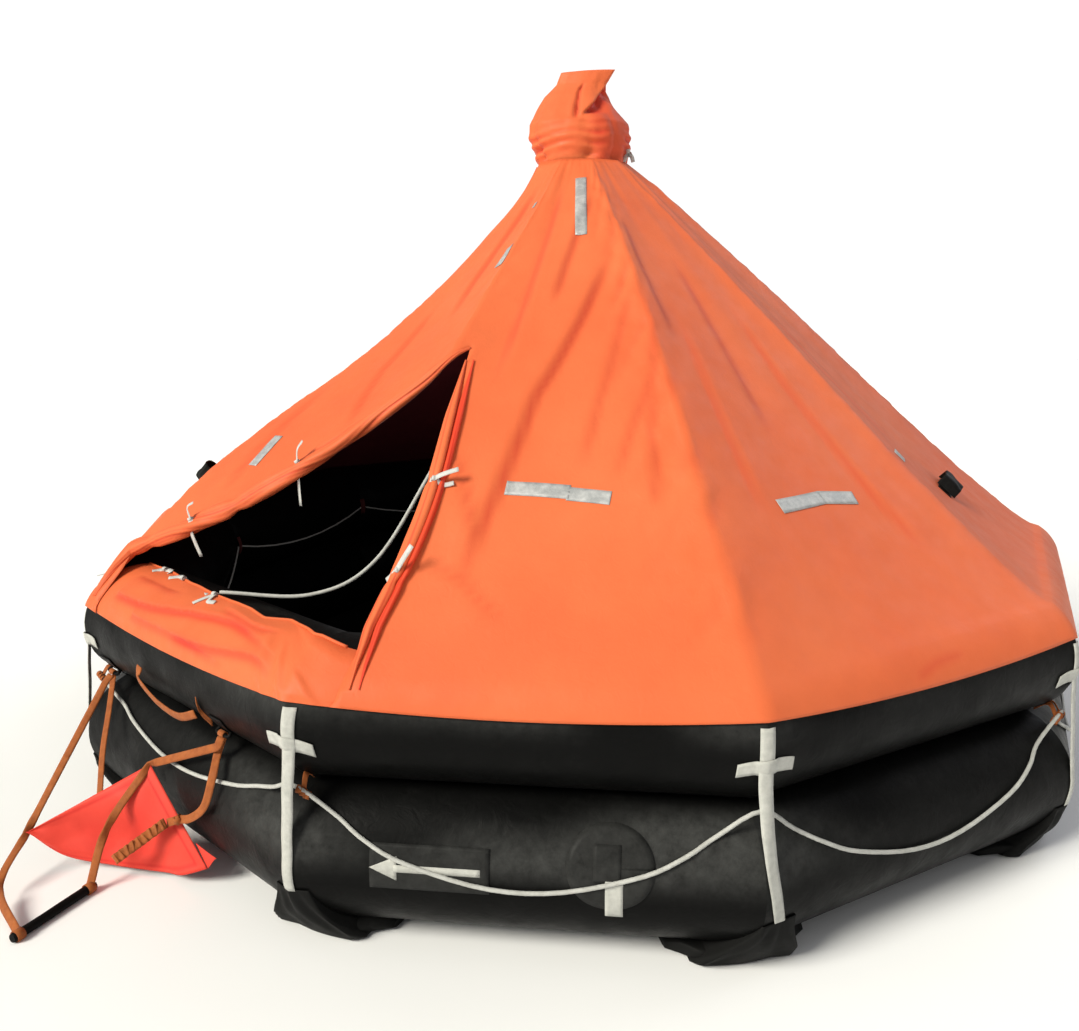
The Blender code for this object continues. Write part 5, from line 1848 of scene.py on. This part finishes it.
def step_tab(foot, facing):
    """The step's small tab: a rounded piece of the same cloth at the step's foot."""
    foot = foot - facing * TAB_OFFSET
    top, tip = (Vector(place) - facing * TAB_OFFSET for place in STEP_TAB)
    rows = [[top.lerp(foot, i / 10).lerp(tip, j / 6 * sin(pi * i / 10) ** 0.4) for i in range(11)]
            for j in range(7)]
    tab = grid_object("ladder_step_tab", np.array(rows), step_cloth)
    return finished(thicken(tab, STEP_CLOTH), "ladder")


def make_step(left, right, foot, facing):
    """The cloth step: a hemmed panel with soft creases."""
    lower = smooth_route([left, *(Vector(place) for place in STEP_HEM), foot], STEP_COLUMNS)
    upper = [left.lerp(right, column / STEP_COLUMNS) for column in range(STEP_COLUMNS + 1)]
    grid = np.array([[low.lerp(high, row / STEP_ROWS) for low, high in zip(lower, upper)]
                     for row in range(STEP_ROWS + 1)])
    row = np.linspace(0, 1, STEP_ROWS + 1)[:, None]
    column = np.linspace(0, 1, STEP_COLUMNS + 1)[None, :]
    from_hem = np.minimum(row, 1 - row) * STEP_ROWS_SPAN
    from_side = (1 - column) * STEP_COLUMNS_SPAN
    seam = np.minimum(from_hem, from_side)
    soft = np.clip(seam / STEP_SOFT, 0, 1)
    waves = speckle(grid, 7, seed=1.9)
    lift = STEP_WAVES * waves * soft + STEP_SMALL_WAVES * speckle(grid, 19, seed=5.4) * soft
    pull = STEP_WAVES * np.sin(6 * column + 4 * row) * soft
    hem = STEP_HEM_DEPTH * (1 - smoothstep(from_hem, STEP_HEM_WIDTH, STEP_HEM_WIDTH + 0.003))
    side_hem = STEP_HEM_DEPTH * (1 - smoothstep(from_side, STEP_HEM_WIDTH, STEP_HEM_WIDTH + 0.004))
    hem = np.maximum(hem, side_hem)
    grid = grid + np.array(facing) * (lift + pull + hem - STEP_OFFSET)[..., None]
    grid[..., 2] = np.maximum(grid[..., 2], STEP_LOWEST)
    # The stitch line beside the hems is darker; the hollows of the waves carry painted shade
    creased = np.maximum(-speckle(grid, 7, seed=1.9), 0) * soft
    shade = 0.8 * bell(seam - STEP_SEAM, STEP_SEAM_WIDTH) + creased
    item = grid_object("ladder_step_cloth", grid, step_cloth, painted_light_and_dust=shade)
    thicken(item, STEP_CLOTH)
    finished(item, "ladder", ["ladder_step"])
    tab = step_tab(foot, facing)


# The spare webbing's places, then its pleats
TUCKED = [(0.208, -1.885, 0.430), (0.250, -1.928, 0.387), (0.232, -1.952, 0.297), (0.160, -1.962, 0.236),
          (0.090, -1.966, 0.206), (0.040, -1.980, 0.182)]
TUCKED_END = (-0.055, -2.106, 0.074)
REAR_STRAP = [(-0.420, -1.935, 0.405), (-0.305, -2.014, 0.320), (-0.186, -2.084, 0.230)]
TUCKS = 9
TUCK_LIFT = 0.009
TUCK_DEPTH = 0.008
TUCK_OVERLAP = 0.007
TUCK_SKEW = 0.25


def make_tucked_webbing(facing, y, z):
    """Spare webbing: one length tucked in pleats over the step, one hanging behind it."""
    def hung(x, places, count):
        """A length that hangs from a bar through some places, and its width's direction."""
        start = Vector((x, y, z - SLEEVE_RADIUS))
        route = smooth_route([start, *(Vector(place) for place in places)], count)
        return route, np.cross(np.gradient(np.array(route), axis=0), np.array(facing))

    first, last = Vector(TUCKED[-1]), Vector(TUCKED_END)
    way = (last - first).normalized()
    pleats = []
    for i in range(TUCKS * 12 + 1):
        t = i / (TUCKS * 12)
        wave = abs(sin(pi * TUCKS * t)) ** 0.5
        back = TUCK_OVERLAP * sin(2 * pi * TUCKS * t)
        pleats.append(first.lerp(last, t) + way * back + facing * (TUCK_LIFT + TUCK_DEPTH * wave))
    sideways = facing.cross(last - first).normalized()
    skew = [tuple(sideways + way * TUCK_SKEW * sin(i * 0.4)) for i in range(len(pleats))]
    knot = Vector(TUCKED[-2])
    grids = [ribbon_grid(*hung(ANCHOR_X[1], TUCKED, 40), LADDER_WEBBING),
             ribbon_grid(pleats, skew, LADDER_WEBBING * 1.3),
             ribbon_grid(*hung(ANCHOR_X[0], REAR_STRAP, 50), LADDER_WEBBING * 0.8),
             loop_grid(knot, last - first, 0.013, LADDER_WEBBING * 0.8),
             loop_grid(knot + facing * 0.006, (0, 0, 1), 0.011, LADDER_WEBBING * 0.6)]
    thin_piece("ladder_tucked_webbing", grids, brown_webbing, WEBBING * 0.8,
               body="ladder")


make_handle()
make_anchors()
make_ladder()


# The floor, the mast and the closed rear curtain

# A pocket: how thick it is at parts of its width, and how its outer edge stands back
POCKET_THICK = ((0, 0.8, 1), (0.034, 0.026, 0.010))
POCKET_NOSE = ((0, 0.62, 1), (0, 0.004, POCKET_BACK))
POCKET_SQUARE = 0.55
POCKET_WRINKLE = 0.006
POCKET_RISES = 0.003
POCKET_COLUMNS = 33
POCKET_ROUND = 30


def pocket_nose(across):
    """How far a pocket's outer edge stands back, `across` from -1 to 1 along it."""
    return np.interp(np.abs(across), *POCKET_NOSE)


def pocket_grid(corner):
    """A ballast pocket folded flat under a corner, as rows round its section."""
    across = np.linspace(-1, 1, POCKET_COLUMNS)[:, None]
    turn = np.linspace(0, 2 * pi, POCKET_ROUND, endpoint=False)[None, :]
    nose = pocket_nose(across)
    middle = RING_RADIUS + POCKET_LIP - POCKET_DEPTH / 2
    squared = np.sign(np.cos(turn)) * np.abs(np.cos(turn)) ** POCKET_SQUARE
    radius = middle - nose / 2 + (POCKET_DEPTH / 2 - nose / 2) * squared
    layers = 1 + 0.10 * np.sin(4 * turn + 3 * across + corner)
    thick = np.interp(np.abs(across), *POCKET_THICK) * layers
    height = POCKET_RISES + thick * (1 + np.sin(turn)) * (0.75 + 0.25 * np.abs(across))
    width = across * (POCKET_HALF * (1 - 0.02 * np.cos(7 * across + corner)))
    wrinkle = POCKET_WRINKLE * np.sin(31 * width + 5 * turn + corner * 1.3) * np.abs(np.sin(turn))
    radius, azimuth = radius + wrinkle, corner_azimuth(corner)
    x = radius * sin(azimuth) + width * cos(azimuth)
    y = -radius * cos(azimuth) + width * sin(azimuth)
    x, y, height = np.broadcast_arrays(x, y, height)
    return np.stack((x, y, height), axis=-1)


# A pocket's front: half widths at its top and bottom, and its corners turned in at the sides
FLAP_CLEARS = 0.007
FLAP_ON_TUBE = 0.003
FLAP_TOP_HALF = 0.052
FLAP_SPREAD = 0.098
FLAP_BULGE = 0.016
FLAP_CREASE = 0.007
FLAP_FOLD = 0.003
FLAP_CLOTH = 0.0022
FLAP_COLUMNS = 31
GUSSET_COLUMNS = 4
GUSSET_INSIDE = 0.004


def flap_grid(corner):
    """The pocket's front, drawn up over the tube to the end of the corner's strap."""
    turned_in = np.linspace(1, 0, GUSSET_COLUMNS + 1)[:-1]
    across = np.concatenate((np.full(GUSSET_COLUMNS, -1), np.linspace(-1, 1, FLAP_COLUMNS),
                             np.full(GUSSET_COLUMNS, 1)))[None, :]
    gusset = np.concatenate((turned_in, np.zeros(FLAP_COLUMNS), turned_in[::-1]))[None, :]
    t = np.linspace(0, 1, 26)[:, None]
    top, reach = strap_end(corner) + radians(1), LOWER_TUBE + FLAP_ON_TUBE
    drift = strap_drift(corner) + STRAP_SHIFT.get(corner, 0)
    width = across * (FLAP_TOP_HALF + FLAP_SPREAD * (1 - t) ** 1.4) + drift * t
    edge = RING_RADIUS + POCKET_LIP + 0.005 - pocket_nose(width / POCKET_HALF)
    bottom = edge * cos(HALF) + np.abs(width) * sin(HALF)
    out = bottom + (APOTHEM + reach * cos(top) - bottom) * t + FLAP_BULGE * np.sin(pi * t)
    height = FLAP_CLEARS + (LOWER_HEIGHT + reach * sin(top) - FLAP_CLEARS) * t
    crease = FLAP_CREASE * np.abs(np.sin(2.5 * across * (1 + t) + corner)) * (1 - t)
    fold = FLAP_FOLD * np.sin(9 * across + 6 * t + corner * 1.9) * np.sin(pi * t)
    out = out + crease + fold
    below = np.clip((LOWER_HEIGHT - height) / LOWER_TUBE, 0, 0.93)
    behind = APOTHEM + LOWER_TUBE * np.sqrt(1 - below ** 2) - GUSSET_INSIDE
    return corner_row(corner, width, out + (np.minimum(behind, out) - out) * gusset, height)


# The bottom sheet's section as (part of the radius, height), and the quilted mat's pillows
BOTTOM_SECTION = [(0.02, UNDERLAY - GAP), (0.5, UNDERLAY - GAP), (1, UNDERLAY - GAP), (1.001, 0.010),
                  (1, 0.001), (0.02, 0.001)]
QUILT_SPACING = 0.22
QUILT_DEPTH = 0.016
MAT_EDGE_DROP = 0.030
MAT_CLOTH = 0.010


def mast_shape(place, angle):
    """The mast's radius, as a part of its own: it creases at its foot."""
    foot = 0.015 * np.cos(angle * 3 + 20 * place) * np.exp(-place * 14)
    return 0.985 + foot + 0.004 * np.sin(angle * 8)


def make_floor():
    """The bottom sheet with its folded pockets, the quilted mat and the mast."""
    reach = RING_RADIUS + FLOOR_LIP
    azimuth = np.concatenate([corner_azimuth(i) + STEP * np.arange(8) / 8 for i in range(SIDES)])
    flat_side = APOTHEM / np.cos(azimuth - np.round(azimuth / STEP) * STEP)
    out = flat_side / APOTHEM * reach * cos(HALF)
    sheet = np.array([round_raft(azimuth, out * share, level) for share, level in BOTTOM_SECTION])
    item = grids_object("bottom_sheet", [sheet], floor_rubber, around=True)
    finished(item, replaces=["floor_underlay"])
    for corner in range(SIDES):
        pocket = grid_object(f"ballast_pocket_{corner + 1:02d}", pocket_grid(corner), pocket_cloth,
                             around=True)
        finished(capped(pocket, POCKET_COLUMNS, POCKET_ROUND))
        thin_piece(f"pocket_flap_{corner + 1:02d}", [flap_grid(corner)], pocket_cloth, FLAP_CLOTH)
    mat_top = UNDERLAY + MAT_HEIGHT
    drop = LOWER_HEIGHT - mat_top
    inner = (APOTHEM - sqrt(LOWER_TUBE ** 2 - drop ** 2) - 0.002) / APOTHEM
    share = np.linspace(0.01, 1, 60)[:, None]
    edge = flat_side * inner
    grid = round_raft(azimuth[None, :], edge[None, :] * share, mat_top)
    quilt = np.abs(np.sin(grid[..., 0] * pi / QUILT_SPACING)) ** 0.35
    grid[..., 2] -= QUILT_DEPTH * (1 - quilt) + MAT_EDGE_DROP * smoothstep(share, 0.97, 1.0)
    mat = thicken(grid_object("quilted_mat", grid, floor_rubber, around=True), MAT_CLOTH, -1)
    finished(mat, replaces=["floor_mat"])
    route = [(0, 0, mat_top + GAP + (NECK_HEIGHT - mat_top) * i / 60) for i in range(61)]
    mast = round_bar("mast_cloth_tube", route, MAST_RADIUS, mast_cloth, 40, mast_shape)
    finished(mast, replaces=["centre_mast"])


# The rear curtain: how far up its gore it reaches, how far outside the canopy it hangs, and
# its ties' rows and columns with their ends as (along, up)
REAR_TOP = 0.6
REAR_OUTSIDE = 0.0085
REAR_HEM_DEPTH = 0.0020
REAR_HANG = 0.004
REAR_CLOTH = 0.0018
REAR_COLUMNS = 64
REAR_TIE_ROWS = (8, 18, 28, 38)
REAR_TIE_COLUMNS = (1, -2)
REAR_TAILS = ((0.03, -0.05), (-0.02, -0.06))


def rear_ties(base, facing):
    """The tapes tied along the rear curtain's edges."""
    grids = []
    for row in REAR_TIE_ROWS:
        for column in REAR_TIE_COLUMNS:
            knot = Vector(base[row, column] + facing[row, column] * 0.010)
            out = Vector(facing[row, column])
            grids.append(loop_grid(knot, (0, 0, 1), 0.007, TAPE_WIDTH))
            for x, z in REAR_TAILS:
                middle = knot + Vector((x, 0, z)) * 0.5
                grids.append(tail_grid([knot, middle, knot + Vector((x, 0.02, z))], out))
    thin_piece("rear_curtain_ties", grids, white_tape, TIE_CLOTH)


def make_rear_curtain():
    """The entrance behind, closed by its hanging curtain and tied along its edges."""
    rows, columns = np.linspace(0.0, REAR_TOP, 44), np.linspace(0.02, 0.98, REAR_COLUMNS)
    v, u = np.meshgrid(rows, columns, indexing="ij")
    base = canopy_point(np.full(v.shape, SIDES // 2), u, v, -REAR_OUTSIDE)
    facing = facing_of(base)
    edge = np.minimum(np.minimum(u, 1 - u) * 1.1, np.minimum(v, REAR_TOP - v) * 2)
    lift = REAR_HEM_DEPTH * (1 - smoothstep(edge, 0.025, 0.032))
    hang = np.sin(u * 30 + 2 * speckle(base, 1.5, seed=2.0)) * REAR_HANG * np.exp(-v * 4)
    lift += (REAR_HANG + hang + REAR_HANG * speckle(base, 6, seed=3.4)) * smoothstep(edge, 0, 0.08)
    item = grid_object("rear_curtain_sheet", base + facing * lift[..., None], canopy_cloth)
    thicken(item, REAR_CLOTH)
    finished(item, replaces=["rear_curtain"])
    rear_ties(base, facing)


# The inner tabs: half width, half angle in degrees, and how far they stand off the tube
INNER_TAB_HALF = 0.014
INNER_TAB_ANGLE = 12
INNER_TAB_CLEARS = 0.004
INNER_TAB_BULGE = 0.006
INNER_TAB_CLOTH = 0.0020


def make_inner_tabs():
    """The small dark red tabs that hold the inner line at the corners."""
    across = np.linspace(-INNER_TAB_HALF, INNER_TAB_HALF, 5)[None, :]
    angle = np.radians(np.linspace(-INNER_TAB_ANGLE, INNER_TAB_ANGLE, 7))[:, None]
    reach = UPPER_TUBE + INNER_TAB_CLEARS + INNER_TAB_BULGE * np.cos(angle * 7)
    out, height = APOTHEM - reach * np.cos(angle), UPPER_HEIGHT + reach * np.sin(angle)
    grids = [corner_row(corner, across, out, height) for corner in range(SIDES)]
    thin_piece("inner_line_tabs", grids, mast_cloth, INNER_TAB_CLOTH)


make_floor()
make_rear_curtain()
make_inner_tabs()


# Floor, backdrop and light

# The stage's half size, how far it lies below the raft, and its greys
STAGE_HALF = 30.0
STAGE_BELOW = 0.001
STAGE_GREYS = (0.93, 0.96)


def make_stage():
    """The pale floor that the raft stands on."""
    dark, light = ((grey, grey, grey) for grey in STAGE_GREYS)
    tree = Tree("studio_floor", 0.9)
    tree.colour(tree.ramp(tree.noise(scale=0.8), (0.3, dark), (0.7, light)))
    mesh = bpy.data.meshes.new("studio_floor")
    corners = [(x * STAGE_HALF, y * STAGE_HALF, 0) for x, y in ((-1, -1), (1, -1), (1, 1), (-1, 1))]
    mesh.from_pydata(corners, [], [(0, 1, 2, 3)])
    mesh.materials.append(tree.material)
    floor = bpy.data.objects.new("studio_floor", mesh)
    floor.location.z = -STAGE_BELOW
    bpy.context.scene.collection.objects.link(floor)


def sun_light(name, azimuth, elevation, power, colour, softness):
    """Even light from far away, at an azimuth round the raft and an elevation in degrees."""
    data = bpy.data.lights.new(name, "SUN")
    data.energy = power
    data.color = colour
    data.angle = radians(softness)
    item = bpy.data.objects.new(name, data)
    level = cos(radians(elevation))
    towards = Vector(round_raft(radians(azimuth), level, sin(radians(elevation))))
    item.rotation_euler = (-towards).to_track_quat("-Z", "Y").to_euler()
    bpy.context.scene.collection.objects.link(item)


# Each light's azimuth and elevation in degrees, power, colour and softness in degrees, and
# how bright the backdrop is as a light and as it's seen
KEY_LIGHT = (-12, 36, 4.0, (1.0, 0.97, 0.86), 24)
FILL_LIGHT = (165, 36, 0.6, (0.90, 0.92, 1.0), 40)
BACKDROP_LIGHTS = 0.38
BACKDROP_SEEN = 1.05
INSIDE_PLACE = (-0.35, -0.45, 1.15)
INSIDE_POWER = 5
INSIDE_SOFTNESS = 0.3


def make_light():
    """Soft warm light from the left, cooler light from behind, and a white backdrop."""
    world = bpy.data.worlds.new("studio")
    world.use_nodes = True
    nodes, links = world.node_tree.nodes, world.node_tree.links
    background = nodes["Background"]
    background.inputs["Color"].default_value = (1.0, 1.0, 1.0, 1)
    seen = nodes.new("ShaderNodeLightPath").outputs["Is Camera Ray"]
    level = nodes.new("ShaderNodeMapRange")
    level.inputs["To Min"].default_value = BACKDROP_LIGHTS
    level.inputs["To Max"].default_value = BACKDROP_SEEN
    links.new(seen, level.inputs["Value"])
    links.new(level.outputs[0], background.inputs["Strength"])
    bpy.context.scene.world = world
    sun_light("key", *KEY_LIGHT)
    sun_light("fill", *FILL_LIGHT)
    inside = bpy.data.objects.new("inside", bpy.data.lights.new("inside", "POINT"))
    inside.data.energy = INSIDE_POWER
    inside.data.shadow_soft_size = INSIDE_SOFTNESS
    inside.location = INSIDE_PLACE
    bpy.context.scene.collection.objects.link(inside)
    bpy.context.scene.view_settings.view_transform = "Standard"


make_stage()
make_light()
